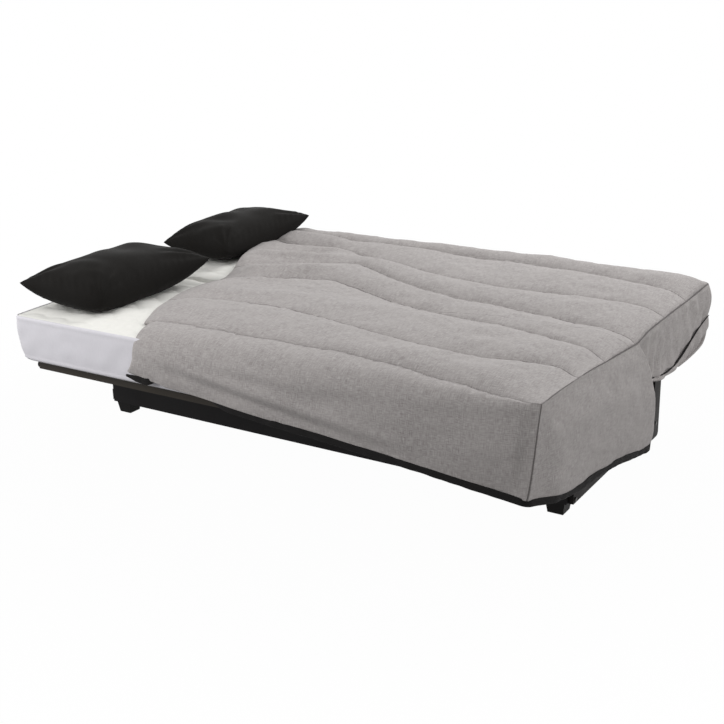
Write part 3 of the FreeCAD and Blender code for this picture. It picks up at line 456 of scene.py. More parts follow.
ticking = Finish("mattress_white", Specular_IOR_Level=0.2, Sheen_Weight=0.05)
knit = ticking.add("TexWave", {"wave_type": "BANDS", "bands_direction": "DIAGONAL"},
                   {"Vector": ticking.place(cloth=True), "Scale": 150, "Distortion": 1.5, "Detail": 1})
fuzz = ticking.grain(ticking.place(cloth=True), 45, 4, 0.6)
ticking.feed(Base_Color=ticking.mix(fuzz, paint(222, 221, 216), paint(236, 235, 230)),
             Roughness=fuzz.over(0, 1, 0.8, 0.95))
ticking.relief(knit * 0.4 + fuzz * 0.6, 0.0006, 0.5)
border = Finish("mattress_border", Specular_IOR_Level=0.2, Sheen_Weight=0.05)
rib = border.add("TexWave", {"wave_type": "BANDS", "bands_direction": "X"},
                 {"Vector": border.place(cloth=True), "Scale": 90, "Distortion": 0.6, "Detail": 2})
nap = border.grain(border.place((1, 0.25, 1), cloth=True), 160, 3, 0.6)
grey = border.mix(rib * 0.35 + nap * 0.5, paint(222, 220, 225), paint(205, 203, 209))
border.feed(Base_Color=grey, Roughness=nap.over(0, 1, 0.8, 0.95))
border.relief(rib * 0.5 + nap * 0.5, 0.0007, 0.5)
for half, side in (("seat", -1), ("back", 1)):
    pad = mattress(half + "_mattress_pad", side)
    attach(pad, half)
    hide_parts(half + "_mattress")
    band = ring_border(half + "_mattress_border", side)
    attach(band, half)


# Quilted cover, top panels: a wadded quilt over the mattress, sewn in six lengthwise channels. It has been
# pulled back from the pillows and lies askew, so its seams drift across the fold. The seat's and the back's
# panel share one straight line near the fold.
seam_lines = [
    [(0.97, -0.6755), (0.893, -0.664), (0.749, -0.630), (0.566, -0.600), (0.291, -0.556), (-0.05, -0.552),
     (-0.60, -0.550)],
    [(0.97, -0.440), (0.91, -0.402), (0.84, -0.392), (0.72, -0.412), (0.60, -0.418), (0.449, -0.398),
     (0.22, -0.355), (0.02, -0.300), (-0.20, -0.275), (-0.40, -0.300), (-0.60, -0.355)],
    [(0.97, -0.262), (0.93, -0.225), (0.882, -0.200), (0.701, -0.142), (0.385, -0.078), (0.15, -0.010),
     (-0.049, 0.060), (-0.20, 0.112), (-0.34, 0.100), (-0.45, 0.030), (-0.62, -0.050)],
    [(0.97, -0.012), (0.93, 0.000), (0.805, 0.034), (0.499, 0.088), (0.275, 0.105), (0.07, 0.175),
     (-0.10, 0.255), (-0.217, 0.315), (-0.36, 0.270), (-0.50, 0.160), (-0.70, 0.080)],
    [(0.97, 0.245), (0.93, 0.270), (0.818, 0.292), (0.60, 0.282), (0.399, 0.270), (0.15, 0.305),
     (-0.039, 0.361), (-0.20, 0.415), (-0.296, 0.448), (-0.45, 0.470), (-0.80, 0.480)],
    [(0.97, 0.455), (0.93, 0.482), (0.789, 0.508), (0.463, 0.561), (0.129, 0.585), (-0.10, 0.590),
     (-0.85, 0.600)],
    [(0.97, 0.714), (0.80, 0.704), (-0.85, 0.690)],
]
head_line = [(-0.66, -0.420), (-0.60, -0.440), (-0.578, -0.468), (-0.43, -0.542), (-0.26, -0.594),
             (-0.09, -0.622), (0.011, -0.616), (0.09, -0.636), (0.26, -0.712), (0.45, -0.772),
             (0.60, -0.795), (0.70, -0.812)]
end_seam = [(-0.70, 0.485), (-0.675, 0.484), (-0.55, 0.484), (-0.425, 0.480), (-0.33, 0.473), (-0.23, 0.464),
            (-0.10, 0.454), (0.02, 0.445), (0.056, 0.451), (0.116, 0.459), (0.28, 0.461), (0.478, 0.460),
            (0.615, 0.461), (0.728, 0.466)]
cover_foot, fold_y, edge_limit = 0.957, -0.060, 0.05


def soft_line(points, at, reach=0.06):
    """A line through points, each (place, value), as the mean of nine readings within reach on both sides, so
    that it bends softly."""
    places, values = zip(*sorted(points))
    return sum(np.interp(at + shift, places, values) for shift in np.linspace(-reach, reach, 9)) / 9


def front_seam(x):
    """Y of the seam between the quilt and the front skirt, softened."""
    return soft_line(seam_lines[0], x, 0.03)


def rear_seam(x):
    """Y of the seam between the quilt and the rear panel, softened."""
    return soft_line(seam_lines[6], x)


def fold_line(x):
    """Y of the straight line that both halves of the quilt share."""
    return fold_y + 0 * x


def channel_at(x, y):
    """The channel coordinate, a whole number on each seam and even between two seams."""
    lines = np.stack([soft_line(points, x, 0.03) for points in seam_lines])
    channel = np.zeros(np.broadcast(x, y).shape)
    for number in range(len(seam_lines) - 1):
        share = (y - lines[number]) / (lines[number + 1] - lines[number])
        channel += np.clip(share, 0 if number else None, 1 if number < len(seam_lines) - 2 else None)
    return channel


def ridge(x, y, start, end, high, wide):
    """A crease: a bell across the line from start to end, dying away as a half sine along it. Where high is
    negative it is a furrow."""
    start, end = np.array(start), np.array(end)
    line = end - start
    length = np.hypot(*line)
    along = ((x - start[0]) * line[0] + (y - start[1]) * line[1]) / length ** 2
    off = ((x - start[0]) * line[1] - (y - start[1]) * line[0]) / length
    return high * np.exp(-(off / wide) ** 2) * np.sin(math.pi * np.clip(along, 0, 1)) ** 0.8


# Creases of the pulled-back quilt: start, end, height and width of each ridge, and of the furrows between.
quilt_creases = [((-0.74, 0.36), (-0.26, 0.46), 0.013, 0.028), ((-0.72, 0.20), (-0.28, 0.36), 0.015, 0.026),
                 ((-0.64, 0.04), (-0.18, 0.22), 0.012, 0.030), ((-0.62, -0.10), (-0.25, 0.04), 0.009, 0.026),
                 ((-0.55, -0.24), (-0.10, -0.16), 0.006, 0.038), ((-0.80, 0.58), (-0.40, 0.53), 0.010, 0.036),
                 ((-0.70, 0.28), (-0.36, 0.40), -0.007, 0.020), ((-0.64, 0.12), (-0.24, 0.29), -0.008, 0.022)]


def quilt_height(x, y, channel, head):
    """Height of the quilt: mattress, wadding, a puff (4 f (1 - f)) to the 0.6 over each channel, gathers
    beside the seams, a rolled head edge that thickens inwards, and a rounded fall to the foot seam."""
    share = channel - np.floor(channel)
    puff = (4 * share * (1 - share) + 0.006) ** 0.6
    beside = np.exp(-np.minimum(share, 1 - share) * 0.2 / 0.025)
    gathers = 0.0006 * beside * swell(x, y, 0.036, 11) + 0.0007 * swell(x, y, 0.05, 12)
    rolling = 0.0030 * swell(x, y, 0.30, 13, 1.6) + 0.0017 * swell(x, y, 0.12, 14, 1.4)
    base = np.maximum(bed_height(x, y), mattress_edge + 0.001)
    middle = smooth(cover_foot - x, 0.0, 0.16)
    sewn = (0.022 + 0.008 * smooth(np.abs(y), 0.45, 0.65) + 0.012 * smooth(y, 0.30, 0.60)
            - 0.012 * smooth(y, 0.655, 0.71))
    creases = sum(ridge(x, y, *crease) for crease in quilt_creases)
    from_head = np.clip(x - head, 0, None)
    bunch = 0.022 * smooth(y, 0.02, 0.20) * np.exp(-((from_head - 0.035) / 0.055) ** 2)
    full = (sewn + 0.024 * puff * (0.55 + 0.45 * middle) + (gathers + rolling) * (0.35 + 0.65 * middle)
            + creases)
    roll = np.sqrt(1 - (1 - np.clip(from_head / 0.018, 0, 1)) ** 2)
    thick = 0.002 + 0.010 * roll + (full - 0.012) * smooth(from_head, -0.02, 0.13) * roll + bunch * roll
    height = base + thick
    foot_z = soft_line(end_seam, y, 0.02) + 0 * x
    fall = 1 - np.sqrt(1 - np.clip((x - cover_foot + 0.085) / 0.085, 0, 1) ** 2.6)
    return height * (1 - fall) + foot_z * fall


def weave_cover(name, quilted):
    """The cover's cloth: a heathered chenille, thick uneven threads both ways, with painted shade along its
    seams.
    """
    cloth = Finish(name, Specular_IOR_Level=0.15, Sheen_Weight=0.12, Sheen_Roughness=0.5)
    weft = cloth.grain(cloth.place((42, 540, 1), cloth=True), 1, 2, 0.6)
    warp = cloth.grain(cloth.place((540, 42, 1), cloth=True), 1, 2, 0.6)
    slub = cloth.grain(cloth.place((1, 1.5, 1), cloth=True), 95, 3, 0.7)
    cast = cloth.grain(cloth.place(cloth=True), 8, 3, 0.6)
    thread = (weft + warp) * 0.5
    colour = cloth.mix(thread.over(0.36, 0.64), paint(137, 131, 130), paint(184, 180, 178))
    colour = cloth.mix(slub.over(0.34, 0.66) * 0.45, colour, paint(152, 147, 146))
    colour = cloth.mix(cast.over(0.3, 0.7) * 0.25, colour, paint(175, 170, 168))
    height = thread * 0.6 + slub * 0.4
    # Painted shade: a thin dark line within a few millimetres of the piece's seamed edges, standing in for
    # the shade in the seam grooves.
    edge = cloth.add("Attribute", {"attribute_name": "edge"}, out="Fac")
    line = edge.over(0.0006, 0.0024, 1.0, 0.0)
    if quilted:
        # On the quilt, more painted shade along each sewn channel seam, fading out towards the front seam.
        channel = cloth.add("Attribute", {"attribute_name": "channel"}, out="Fac")
        whole = channel.maths("ROUND", channel)
        off = channel.maths("ABSOLUTE", channel - whole)
        sewn_seam_shade = off.over(0.003, 0.013, 0.95, 0.0) * channel.over(0.1, 0.6, 0.12, 1.0)
        line = line.maths("MAXIMUM", line, sewn_seam_shade)
    # The painted seam shade darkens the cloth towards dark grey.
    colour = cloth.mix(line * (0.62 if quilted else 0.5), colour, paint(72, 67, 66))
    height = height - line * 2.0
    cloth.feed(Base_Color=colour, Roughness=slub.over(0.2, 0.8, 0.82, 0.96))
    cloth.relief(height, 0.0011, 0.6)
    return cloth


cover_cloth = weave_cover("cover_cloth", False)
quilt_cloth = weave_cover("cover_quilt", True)


def quilt(name, near, far, rows):
    """One top panel: rows run from the near line to the far line across the bed, columns from the head edge
    to the foot seam, where they draw closer together."""
    across = np.linspace(0, 1, rows)[None, :]
    along = np.linspace(0, 1, 340)[:, None]
    along = along + 0.030 * np.sin(math.pi * along) * along
    guess = near(0.0) + (far(0.0) - near(0.0)) * across
    for _ in range(3):
        head = soft_line(head_line, guess, 0.03)
        guess = near(head) + (far(head) - near(head)) * across
    x = head + (cover_foot - head) * along
    y = near(x) + (far(x) - near(x)) * across
    channel = channel_at(x, y)
    z = quilt_height(x, y, channel, head)
    top = np.stack([x, y, z], -1)
    lining = np.maximum(bed_height(x, y), mattress_edge) + 0.0006
    at_foot = smooth(x, cover_foot - 0.030, cover_foot - 0.006)
    lining = np.where(np.abs(y) > mattress_half, z - 0.012, lining) * (1 - at_foot) + (z - 0.004) * at_foot
    under = np.stack([x - 0.010 * at_foot, y, np.minimum(lining, z - 0.0015)], -1)
    edge = np.minimum(cover_foot - x, edge_limit)
    return shell(name, quilt_cloth, top, under, np.stack([x, y], -1), channel=channel, edge=edge)


seat_quilt = quilt("seat_quilted_top", front_seam, fold_line, 140)
back_quilt = quilt("back_quilted_top", fold_line, rear_seam, 170)
for panel, half in ((seat_quilt, "seat"), (back_quilt, "back")):
    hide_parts(half + "_cover_top")
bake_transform(seat_quilt)
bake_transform(back_quilt)


# Front skirt: the plain cloth sewn to the front seam, rolling softly over the mattress edge and hanging to
# the hem in long shallow folds. At the foot it meets the end panel in a seam down the corner.
skirt_out, corner_foot, corner_low, cloth_thick = -0.683, 0.925, 0.2145, 0.0035
skirt_low = [(-0.47, 0.338), (-0.355, 0.323), (-0.25, 0.311), (-0.12, 0.302), (0.0, 0.291), (0.136, 0.280),
             (0.30, 0.269), (0.457, 0.256), (0.607, 0.244), (0.75, 0.230), (0.854, 0.2215),
             (corner_foot, corner_low), (0.97, corner_low)]
skirt_creases = [((-0.40, 0.410), (0.62, 0.290), 0.011, 0.020),
                 ((-0.34, 0.372), (0.56, 0.262), -0.007, 0.016),
                 ((-0.38, 0.450), (0.30, 0.395), 0.006, 0.018)]


def corner_seam(down):
    """The corner seam from the foot end of the front seam, down = 0, to the hem, down = 1: it leans inwards
    as its height to the 0.7, and stands out to the skirt's face within the first third."""
    top_z = 0.4843
    z = top_z + (corner_low - top_z) * down
    lean = np.clip((z - corner_low) / (top_z - corner_low), 0, 1)
    return np.stack([corner_foot + 0.032 * lean ** 0.7, skirt_out + 0.0085 * lean ** 4, z], -1)


def cloth_under(top, toward):
    """The inner skin of a sheet: each point moved by the cloth's thickness along its normal, which is turned
    to lie on the side of toward."""
    normal = np.cross(np.gradient(top, axis=0), np.gradient(top, axis=1))
    normal /= np.maximum(np.linalg.norm(normal, axis=-1, keepdims=True), 1e-9)
    side = np.sign(np.sum(normal * np.array(toward), axis=-1, keepdims=True))
    return top + normal * cloth_thick * np.where(side == 0, 1, side)


def front_skirt():
    """Profile by profile along X: a quarter superellipse from the seam out over the edge, then straight down
    to the hem, with folds added outwards, all drawn to the corner seam in the last columns."""
    squareness = 2.3
    along = np.linspace(0, 1, 360)[:, None]
    down = np.linspace(0, 1, 110)[None, :]
    corner = corner_seam(down)
    head = -0.428 - 0.030 * down ** 2.2
    x = head + (corner[..., 0] - head) * along
    seam_y = front_seam(x)
    head_x = soft_line(head_line, seam_y, 0.03)
    seam_z = quilt_height(np.maximum(x, head_x), seam_y, 0 * x, head_x)
    seam_z = np.maximum(seam_z, mattress_edge + 0.003)
    room = np.maximum(seam_y - skirt_out, 0.006)
    fall = 0.022 + 0.52 * room
    break_at = 0.12 + 1.7 * room
    over, hang = np.clip(down / break_at, 0, 1), np.clip((down - break_at) / (1 - break_at), 0, 1)
    bend = over * math.pi / 2
    roll = np.sqrt(1 - (1 - np.clip((x - head) / 0.020, 0, 1)) ** 2)
    thin = 1 - smooth(x - head, -0.01, 0.12)
    out = skirt_out + 0.007 * thin + 0.010 * (1 - roll)
    y = seam_y + (out - seam_y) * np.sin(bend) ** (2 / squareness)
    low_z = soft_line(skirt_low, x, 0.03)
    z = seam_z - fall + fall * np.maximum(np.cos(bend), 0) ** (2 / squareness)
    z = np.where(down > break_at, (seam_z - fall) + (low_z - (seam_z - fall)) * hang, z)
    gathers = 0.005 * np.sin((x + 0.25 * z) * math.tau / 0.115) * np.exp(-((x + 0.30) / 0.10) ** 2) * down
    folds = (0.0040 * swell(x, z, 0.20, 21, 3.0) + 0.0020 * swell(x, z, 0.09, 22, 2.2)
             + sum(ridge(x, z, *crease) for crease in skirt_creases) + gathers)
    at_corner = smooth(x - corner[..., 0], -0.060, 0.0)
    y = y - (folds * smooth(down, 0.08, 0.40) * (1 - 0.45 * down) * roll
             + 0.003 * np.sin(math.pi * hang)) * (1 - at_corner)
    z = z + 0.004 * np.sin(math.pi * over) * (1 - at_corner)
    y = y * (1 - at_corner) + corner[..., 1] * at_corner
    z = z * (1 - at_corner) + corner[..., 2] * at_corner
    top = np.stack([x, y, z], -1)
    length = np.cumsum(np.linalg.norm(np.diff(top, axis=1, prepend=top[:, :1]), axis=-1), axis=1)
    fading = 0.003 * smooth(-x, -0.95, -0.75)
    edge = np.minimum(np.minimum(length + fading, corner[..., 0] - x), edge_limit)
    return shell("front_skirt", cover_cloth, top, cloth_under(top, (0, 1.0, -0.4)),
                 np.stack([x, seam_y - length], -1), edge=edge)


skirt = front_skirt()
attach(skirt, "seat")
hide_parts("seat_cover_front_skirt")


# Seat end panel: the plain cloth over the foot end of the seat half, sewn to the quilt along its top and to
# the skirt at the corner, and hanging free at its rear edge over the mechanism.
fold_stop, panel_stop = 0.020, 0.147
panel_low = [(skirt_out, corner_low), (-0.645, 0.2085), (-0.555, 0.188), (-0.465, 0.170), (-0.40, 0.159),
             (-0.26, 0.150), (-0.18, 0.138), (-0.124, 0.130), (-0.03, 0.110), (0.03, 0.097), (0.09, 0.088),
             (panel_stop, 0.079)]
panel_rear = [(0.0, fold_stop, 0.957), (0.15, 0.064, 0.967), (0.27, 0.092, 0.972), (0.42, 0.112, 0.974),
              (0.56, 0.135, 0.974), (0.67, 0.152, 0.974), (0.78, 0.162, 0.973), (0.90, 0.157, 0.972),
              (1.0, panel_stop, 0.970)]


def patch(top, low, start, end):
    """The skin over four edges that meet at their ends: what the ruled skin from top to low gives, plus the
    ruled skin from start to end, less the flat skin through the four corners."""
    u = np.linspace(0, 1, len(top))[:, None, None]
    v = np.linspace(0, 1, len(start))[None, :, None]
    top, low, start, end = top[:, None], low[:, None], start[None], end[None]
    flat = ((1 - u) * (1 - v) * top[:1] + u * (1 - v) * top[-1:] + (1 - u) * v * low[:1] + u * v * low[-1:])
    return (1 - v) * top + v * low + (1 - u) * start + u * end - flat


def panel_edge(share):
    """The lower edge of the seat end panel's cloth from the corner to the rear: out from the corner seam to
    the panel's plane over the first tenth."""
    y = skirt_out + (panel_stop - skirt_out) * share
    x = corner_foot + 0.036 * smooth(share, -0.03, 0.16) + 0.009 * smooth(share, 0.3, 1.0)
    return np.stack([x, y, soft_line(panel_low, y, 0.018)], -1)


def seat_end_panel():
    """The skin over its four edges, puffed out by the product of two half sines, with shallow folds."""
    along, down = np.linspace(0, 1, 170), np.linspace(0, 1, 90)
    start = corner_seam(down)
    width = fold_stop - start[0, 1]
    top_y = start[0, 1] + width * along
    top = np.stack([cover_foot + 0 * along, top_y, soft_line(end_seam, top_y, 0.02)], -1)
    top[0] = start[0]
    low = panel_edge(along)
    low[0] = start[-1]
    marks = np.array(panel_rear)
    end = np.stack([np.interp(down, marks[:, 0], marks[:, 2]), soft_line(marks[:, :2].tolist(), down, 0.06),
                    top[-1, 2] + (low[-1, 2] - top[-1, 2]) * down], -1)
    end[0], end[-1] = top[-1], low[-1]
    skin = patch(top, low, start, end)
    u, v = along[:, None], down[None, :]
    seams = smooth(u, 0, 0.10) * smooth(v, 0, 0.10)
    y, z = skin[..., 1], skin[..., 2]
    folds = (0.0022 * swell(y, z, 0.17, 31, 1.6) + 0.0011 * swell(y, z, 0.07, 32, 1.4)
             + ridge(y, z, (-0.60, 0.40), (0.0, 0.30), 0.004, 0.035))
    bulge = 0.007 * np.sin(math.pi * v) ** 0.8 * np.sin(math.pi * np.minimum(u, 0.75)) ** 0.5
    skin[..., 0] += (bulge + folds) * seams
    panel_tall = 0.27
    edge = np.minimum(np.minimum(u * width, v * panel_tall), edge_limit)
    return shell("seat_end_panel", cover_cloth, skin, cloth_under(skin, (-1.0, 0, 0)), np.stack([y, z], -1),
                 edge=edge)


end_panel = seat_end_panel()
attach(end_panel, "seat")
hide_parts("seat_cover_end_panel")


# Hem: a black woven band folded over the lower edge of the skirt and the end panel and stitched through.
# Towards the pillows the skirt curls over it.
def hem_band():
    """A flat band carried along the lower edge: round its path the section is a rounded rectangle 21 mm tall
    and 5 mm thick, as |a| to the 4 plus |b| to the 4 = 1. It is wider at its rear end and narrower at its
    head end."""
    half_thick, half_tall = 0.0027, 0.0108
    front_x = np.linspace(-0.447, 0.918, 300)
    curled = smooth(front_x, -0.37, -0.33) * (1 - smooth(front_x, -0.14, -0.05))
    front = np.stack([front_x, skirt_out + 0.0005 + 0.011 * curled,
                      soft_line(skirt_low, front_x, 0.03) - 0.0075 + 0.018 * curled], -1)
    end = panel_edge(np.linspace(0.012, 1.0, 190)) + np.array([-0.0010, 0, -0.0085])
    path = np.concatenate([front, end])
    for _ in range(5):
        path[1:-1] = (path[:-2] + path[1:-1] * 2 + path[2:]) / 4
    way = np.gradient(path, axis=0)
    way /= np.linalg.norm(way, axis=1, keepdims=True)
    side = np.cross(way, [0, 0, 1.0])
    side /= np.linalg.norm(side, axis=1, keepdims=True)
    rise = np.cross(side, way)
    angle = np.linspace(0, math.tau, 29)
    thick, tall = (half * np.sign(wave) * np.abs(wave) ** 0.5
                   for half, wave in ((half_thick, np.cos(angle)), (half_tall, np.sin(angle))))
    run = np.cumsum(np.linalg.norm(np.diff(path, axis=0, prepend=path[:1]), axis=1))
    wrinkle = 0.0008 * swell(run[:, None], tall[None, :], 0.045, 41)
    wide = (1 + 0.35 * smooth(run, run[-1] - 0.10, run[-1] - 0.02)) * (0.35 + 0.65 * smooth(run, -0.01, 0.05))
    points = (path[:, None] + side[:, None] * (thick[None, :, None] + wrinkle[..., None])
              + rise[:, None] * tall[None, :, None] * wide[:, None, None])
    points[:, -1] = points[:, 0]
    return points, np.stack([run[:, None] + 0 * angle, tall[None, :] + 0 * run[:, None]], -1)


def tube(name, finish, points, cloth):
    """A closed skin from rings: points[i, j] goes round ring i, and one face shuts each end ring."""
    rings, around = points.shape[0], points.shape[1] - 1
    number = np.arange(rings * around).reshape(rings, around)
    after = np.roll(number, -1, axis=1)
    walls = np.stack([number[:-1], number[1:], after[1:], after[:-1]], -1).reshape(-1, 4)
    verts = points[:, :-1].reshape(-1, 3)
    mesh = bpy.data.meshes.new(name)
    mesh.from_pydata(verts.tolist(), [], walls.tolist() + [number[0].tolist(), number[-1, ::-1].tolist()])
    flat = cloth[:, :-1].reshape(-1, 2)
    index = np.zeros(len(mesh.loops), np.int32)
    mesh.loops.foreach_get("vertex_index", index)
    mesh.uv_layers.new(name="cloth").data.foreach_set("uv", flat[index].astype(np.float32).ravel())
    if inside_out(verts, walls):
        mesh.flip_normals()
    mesh.polygons.foreach_set("use_smooth", np.ones(len(mesh.polygons), bool))
    mesh.update()
    mesh.materials.append(finish.material)
    return put_in(name, mesh)


binding = Finish("hem_binding", Specular_IOR_Level=0.12, Sheen_Weight=0.04)
ribs = binding.add("TexWave", {"wave_type": "BANDS", "bands_direction": "X"},
                   {"Vector": binding.place(cloth=True), "Scale": 260, "Distortion": 0.5})
lint = binding.grain(binding.place(cloth=True), 220, 3, 0.6)
binding.feed(Base_Color=binding.mix(ribs * 0.4 + lint * 0.5, paint(16, 15, 15), paint(34, 32, 32)),
             Roughness=lint.over(0, 1, 0.75, 0.95))
binding.relief(ribs * 0.6 + lint * 0.4, 0.0006, 0.5)
hem = tube("hem_band", binding, *hem_band())
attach(hem, "seat")
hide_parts("seat_cover_hem")


# Back end panel: the cloth over the foot end of the back half, set in behind the seat's panel. It gathers
# towards the fold, and a dark piping divides it from the rear panel's lobe that sags below the frame.
piping_line = [(0.150, 0.290), (0.187, 0.283), (0.255, 0.273), (0.316, 0.268), (0.369, 0.270), (0.401, 0.272),
               (0.446, 0.282), (0.492, 0.295), (0.530, 0.309), (0.578, 0.323), (0.626, 0.335), (0.685, 0.344),
               (0.735, 0.350)]
lobe_line = [(0.150, 0.284), (0.170, 0.277), (0.205, 0.263), (0.258, 0.252), (0.367, 0.243), (0.495, 0.240),
             (0.579, 0.240), (0.664, 0.246), (0.715, 0.258), (0.730, 0.272)]
piping_at, mattress_clear = 0.7, 0.9468


def back_end_panel():
    """Two ruled skins in one grid: from the top seam down to the piping, with upright gathers near the fold,
    and on from the piping to the lobe's lower edge. The rear side bows out by a half sine."""
    along = np.linspace(0, 1, 170)[:, None]
    down = np.linspace(0, 1, 120)[None, :]
    upper, lower = np.clip(down / piping_at, 0, 1), np.clip((down - piping_at) / (1 - piping_at), 0, 1)
    top_y = -0.005 + 0.719 * along
    mid_y = 0.150 + 0.585 * along
    low_y = 0.150 + 0.580 * along
    top_z = soft_line(end_seam, top_y, 0.02) + 0 * down
    mid_z = soft_line(piping_line, mid_y, 0.015)
    low_z = soft_line(lobe_line, low_y, 0.015)
    y = np.where(down < piping_at, top_y + (mid_y - top_y) * upper, mid_y + (low_y - mid_y) * lower)
    z = np.where(down < piping_at, top_z + (mid_z - top_z) * upper, mid_z + (low_z - mid_z) * lower)
    y = y + (0.018 * np.sin(math.pi * upper) + 0.006 * np.sin(math.pi * lower)) * along ** 4
    y = y - 0.055 * np.sin(math.pi * upper) * (1 - along) ** 3
    gathers = 0.0050 * np.sin((y + 0.25 * (0.45 - z)) * math.tau / 0.062) * np.exp(-((y - 0.17) / 0.12) ** 2)
    gathers = gathers * smooth(upper, 0.15, 0.9) * (1 - lower)
    folds = 0.0028 * swell(y, z, 0.13, 51, 0.8) + 0.0012 * swell(y, z, 0.06, 52)
    pocket = 0.0095 * np.exp(-((y - 0.06) / 0.14) ** 2) * smooth(upper, 0.0, 0.30)
    sides = (smooth(along, 0.0, 0.05) * smooth(1 - along, 0.0, 0.04) * smooth(down, 0.0, 0.08)
             * smooth(1 - down, 0, 0.05))
    groove = np.exp(-((down - piping_at) / 0.018) ** 2)
    bulge = 0.006 * np.sin(math.pi * upper) * smooth(along, 0.2, 0.9) + 0.004 * np.sin(math.pi * lower)
    x = (cover_foot + bulge - 0.004 * groove * sides - pocket + (gathers + folds) * sides
         - 0.010 * smooth(lower, 0.5, 1.0))
    skin = np.stack([np.maximum(x, mattress_clear), y, z], -1)
    panel_tall = 0.18
    edge = np.minimum(upper * panel_tall + 0 * x, edge_limit)
    return shell("back_end_panel", cover_cloth, skin, cloth_under(skin, (-1.0, 0, 0)), np.stack([y, z], -1),
                 edge=edge)


rear_end = back_end_panel()
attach(rear_end, "back")
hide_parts("back_cover_end_panel")

pipe_y = np.linspace(0.165, 0.728, 110)
pipe_wide = 0.0034 * np.sin(math.pi * np.linspace(0.06, 0.94, 110)) ** 0.6
pipe_x = 0.9585 + 0.003 * smooth(pipe_y, 0.35, 0.6) - 0.010 * (1 - smooth(pipe_y, 0.16, 0.30))
pipe_path = np.stack([pipe_x, pipe_y, soft_line(piping_line, pipe_y, 0.015)], -1)
pipe_turn = np.linspace(0, math.tau, 17)
pipe_ring = np.stack([np.cos(pipe_turn), 0 * pipe_turn, np.sin(pipe_turn)], -1)
pipe_cloth = np.stack([pipe_y[:, None] + 0 * pipe_turn, 0.003 * pipe_turn[None, :] + 0 * pipe_y[:, None]], -1)
piping = tube("back_piping", binding, pipe_path[:, None] + pipe_wide[:, None, None] * pipe_ring, pipe_cloth)
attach(piping, "back")
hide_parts("back_cover_piping")


# Rear panel: the cloth from the rear seam over the back edge, sagging in a soft lobe and drawn in under the
# frame, where it is tied to the rear rail.
rear_roll = [(0.714, 0.466), (0.732, 0.447), (0.744, 0.420), (0.748, 0.393), (0.744, 0.368), (0.736, 0.343),
             (0.737, 0.308), (0.728, 0.272), (0.700, 0.252), (0.655, 0.246), (0.600, 0.243), (0.520, 0.243),
             (0.436, 0.246)]


def rear_panel():
    """The rear roll's section carried along X, softened, with folds added outwards from the middle of the
    frame. Its first fifth follows the quilt's rear seam, and at the head end it rolls in."""
    share = np.linspace(0, 1, 120)[None, :]
    along = np.linspace(0, 1, 310)[:, None]
    marks = np.array(rear_roll)
    steps = np.concatenate([[0], np.cumsum(np.hypot(*np.diff(marks, axis=0).T))])
    steps /= steps[-1]
    y = soft_line(list(zip(steps, marks[:, 0])), share, 0.03)
    z = soft_line(list(zip(steps, marks[:, 1])), share, 0.03)
    head_y, panel_foot, lowest, cloth_start = 0.690, 0.9565, 0.2425, 0.664
    head = soft_line(head_line, head_y, 0.03)
    x = head + (panel_foot - head) * along + 0 * share
    seam_y = rear_seam(x)
    seam_z = quilt_height(x, seam_y, 6 + 0 * x, head)
    y, z = y + 0 * x, z + (seam_z - z[0, 0]) * (1 - smooth(share, 0, 0.22))
    y = y * smooth(share, 0, 0.04) + seam_y * (1 - smooth(share, 0, 0.04))
    roll = np.sqrt(1 - (1 - np.clip((x - head) / 0.030, 0, 1)) ** 2)
    at_foot = smooth(x, 0.90, 0.955)
    folds = (0.005 * swell(x, share * 0.5, 0.22, 61, 1.6) + 0.002 * swell(x, share * 0.5, 0.09, 62, 1.3))
    folds = folds * smooth(share, 0.08, 0.3) * smooth(1 - share, 0.0, 0.3) * (1 - at_foot)
    middle_y, middle_z = 0.52, 0.37
    reach = np.sqrt((y - middle_y) ** 2 + (z - middle_z) ** 2)
    grow = 1 + folds / reach
    y, z = middle_y + (y - middle_y) * grow, middle_z + (z - middle_z) * grow
    y = y - 0.030 * (1 - roll) * smooth(share, 0.05, 0.3)
    top = np.stack([x, y, np.maximum(z, lowest)], -1)
    inward = np.stack([0 * x, middle_y - y, middle_z - z], -1)
    inward /= np.linalg.norm(inward, axis=-1, keepdims=True)
    inward = np.where(share[..., None] > 0.72, np.array([0, 0, 1.0]), inward)
    length = np.cumsum(np.linalg.norm(np.diff(top, axis=1, prepend=top[:, :1]), axis=-1), axis=1)
    edge = np.minimum(length, edge_limit)
    return shell("back_rear_panel", cover_cloth, top, top + cloth_thick * inward,
                 np.stack([x, cloth_start + length], -1), edge=edge)


rear_cloth = rear_panel()
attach(rear_cloth, "back")
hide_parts("back_cover_rear_panel")


# Pillows: two long loose feather pillows in a near-black woven case, pointed at their corners and gathered
# there, lying across the head of the bed. Each sinks flat where it rests on the mattress.
case = Finish("pillow_case", Specular_IOR_Level=0.12, Sheen_Weight=0.04, Sheen_Roughness=0.4)
weft, warp = (case.grain(case.place(stretch, cloth=True), 1, 2) for stretch in ((500, 60, 1), (60, 500, 1)))
thread = weft + warp
bloom = case.grain(case.place(cloth=True), 12, 3, 0.6)
case.feed(Base_Color=case.mix(thread * 0.35 + bloom * 0.3, paint(14, 13, 12), paint(27, 25, 23)),
          Roughness=bloom.over(0, 1, 0.75, 0.92))
case.relief(thread * 0.5, 0.0006, 0.5)
pillow_creases = [((-0.95, -0.75), (0.35, -0.55), 0.003, 0.10), ((-0.80, -0.55), (0.55, -0.35), -0.003, 0.09),
                  ((-0.2, -0.9), (0.9, -0.55), 0.003, 0.08), ((0.75, 0.30), (0.95, 0.95), 0.003, 0.09)]


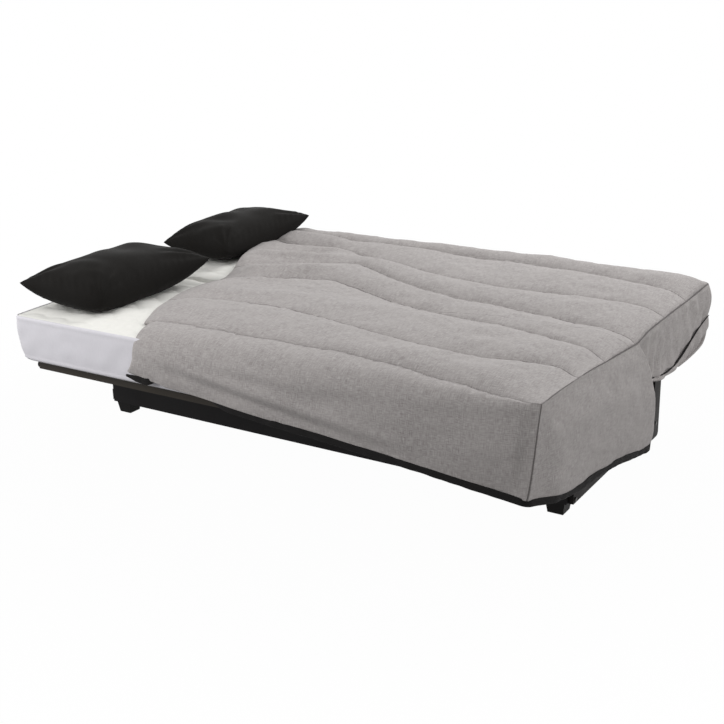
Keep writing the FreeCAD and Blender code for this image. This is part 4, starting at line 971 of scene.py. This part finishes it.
def pillow(name, middle, half, heights, tips, rounds, seed):
    """A pillow: over a square (a, b) the case is full to the root of (1 - a to the 2.3)(1 - b to the 2.8).
    Its sides pull in between the corners, the corners in rounds are pushed in, those in tips are lifted or
    lowered, gathers fan from all four, and the underside flattens on the bed. heights are the bed, the side
    seam above it and the crown above it."""
    a = np.sin(np.linspace(-1, 1, 120) * math.pi / 2)[:, None]
    b = np.sin(np.linspace(-1, 1, 180) * math.pi / 2)[None, :]
    bed, waist, crown = heights

    def near(corner):
        """1 in that corner of the square: the cube of the product of the distances from the two far sides."""
        return (np.clip(1 + corner[0] * a, 0, 2) * np.clip(1 + corner[1] * b, 0, 2) / 4) ** 3

    push = 1 - sum(share * near(corner) for corner, share in rounds.items())
    x = middle[0] + half[0] * a * (1 - 0.10 * (1 - b * b)) * push
    y = middle[1] + half[1] * b * (1 - 0.06 * (1 - a * a)) * push
    full = ((1 - np.abs(a) ** 2.3) * (1 - np.abs(b) ** 2.8)) ** 0.5
    corner_off = np.sqrt((1 - np.abs(a)) ** 2 + (1 - np.abs(b)) ** 2)
    corner_turn = np.arctan2(1 - np.abs(b), 1 - np.abs(a) + 1e-6)
    fan = np.cos(corner_turn * 15 + seed) * np.exp(-((corner_off - 0.40) / 0.26) ** 2)
    edges = np.maximum(np.abs(a), np.abs(b))
    pucker = np.sin((x + y) * math.tau / 0.034 + seed) * np.exp(-((edges - 0.93) / 0.07) ** 2)
    ripple = (0.0048 * fan + 0.0034 * swell(x, y, 0.15, seed)
              + 0.0016 * swell(x, y, 0.05, seed + 1) * edges ** 4 + 0.0016 * pucker
              + sum(ridge(a, b, *crease) for crease in pillow_creases))
    seam = bed + waist + sum(lift * near(corner) for corner, lift in tips.items())
    top = seam + (crown - waist) * full + ripple * full ** 0.6
    under = np.maximum(seam - (waist + 0.020) * full ** 0.8 + 0.5 * ripple * full ** 0.6, bed + 0.0015)
    top, under = (np.stack([x, y, z], -1) for z in (top, under))
    piece = shell(name, case, top, under, np.stack([x, y], -1))
    work = bmesh.new()
    work.from_mesh(piece.data)
    bmesh.ops.remove_doubles(work, verts=work.verts, dist=0.0002)
    work.to_mesh(piece.data)
    work.free()
    return piece


front_pillow = pillow("front_pillow", (-0.794, -0.329), (0.173, 0.288), (0.459, 0.056, 0.157),
                      {(-1, -1): 0.033, (1, 1): 0.031, (1, -1): -0.017}, {(1, -1): 0.25, (-1, 1): 0.06}, 71)
rear_pillow = pillow("rear_pillow", (-0.827, 0.390), (0.148, 0.279), (0.4755, 0.053, 0.142),
                     {(-1, -1): 0.008, (1, 1): 0.036, (1, -1): -0.012},
                     {(1, -1): 0.20, (-1, 1): 0.12}, 81)
for piece, body in ((front_pillow, "pillow_front"), (rear_pillow, "pillow_rear")):
    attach(piece, body)
    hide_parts(body)
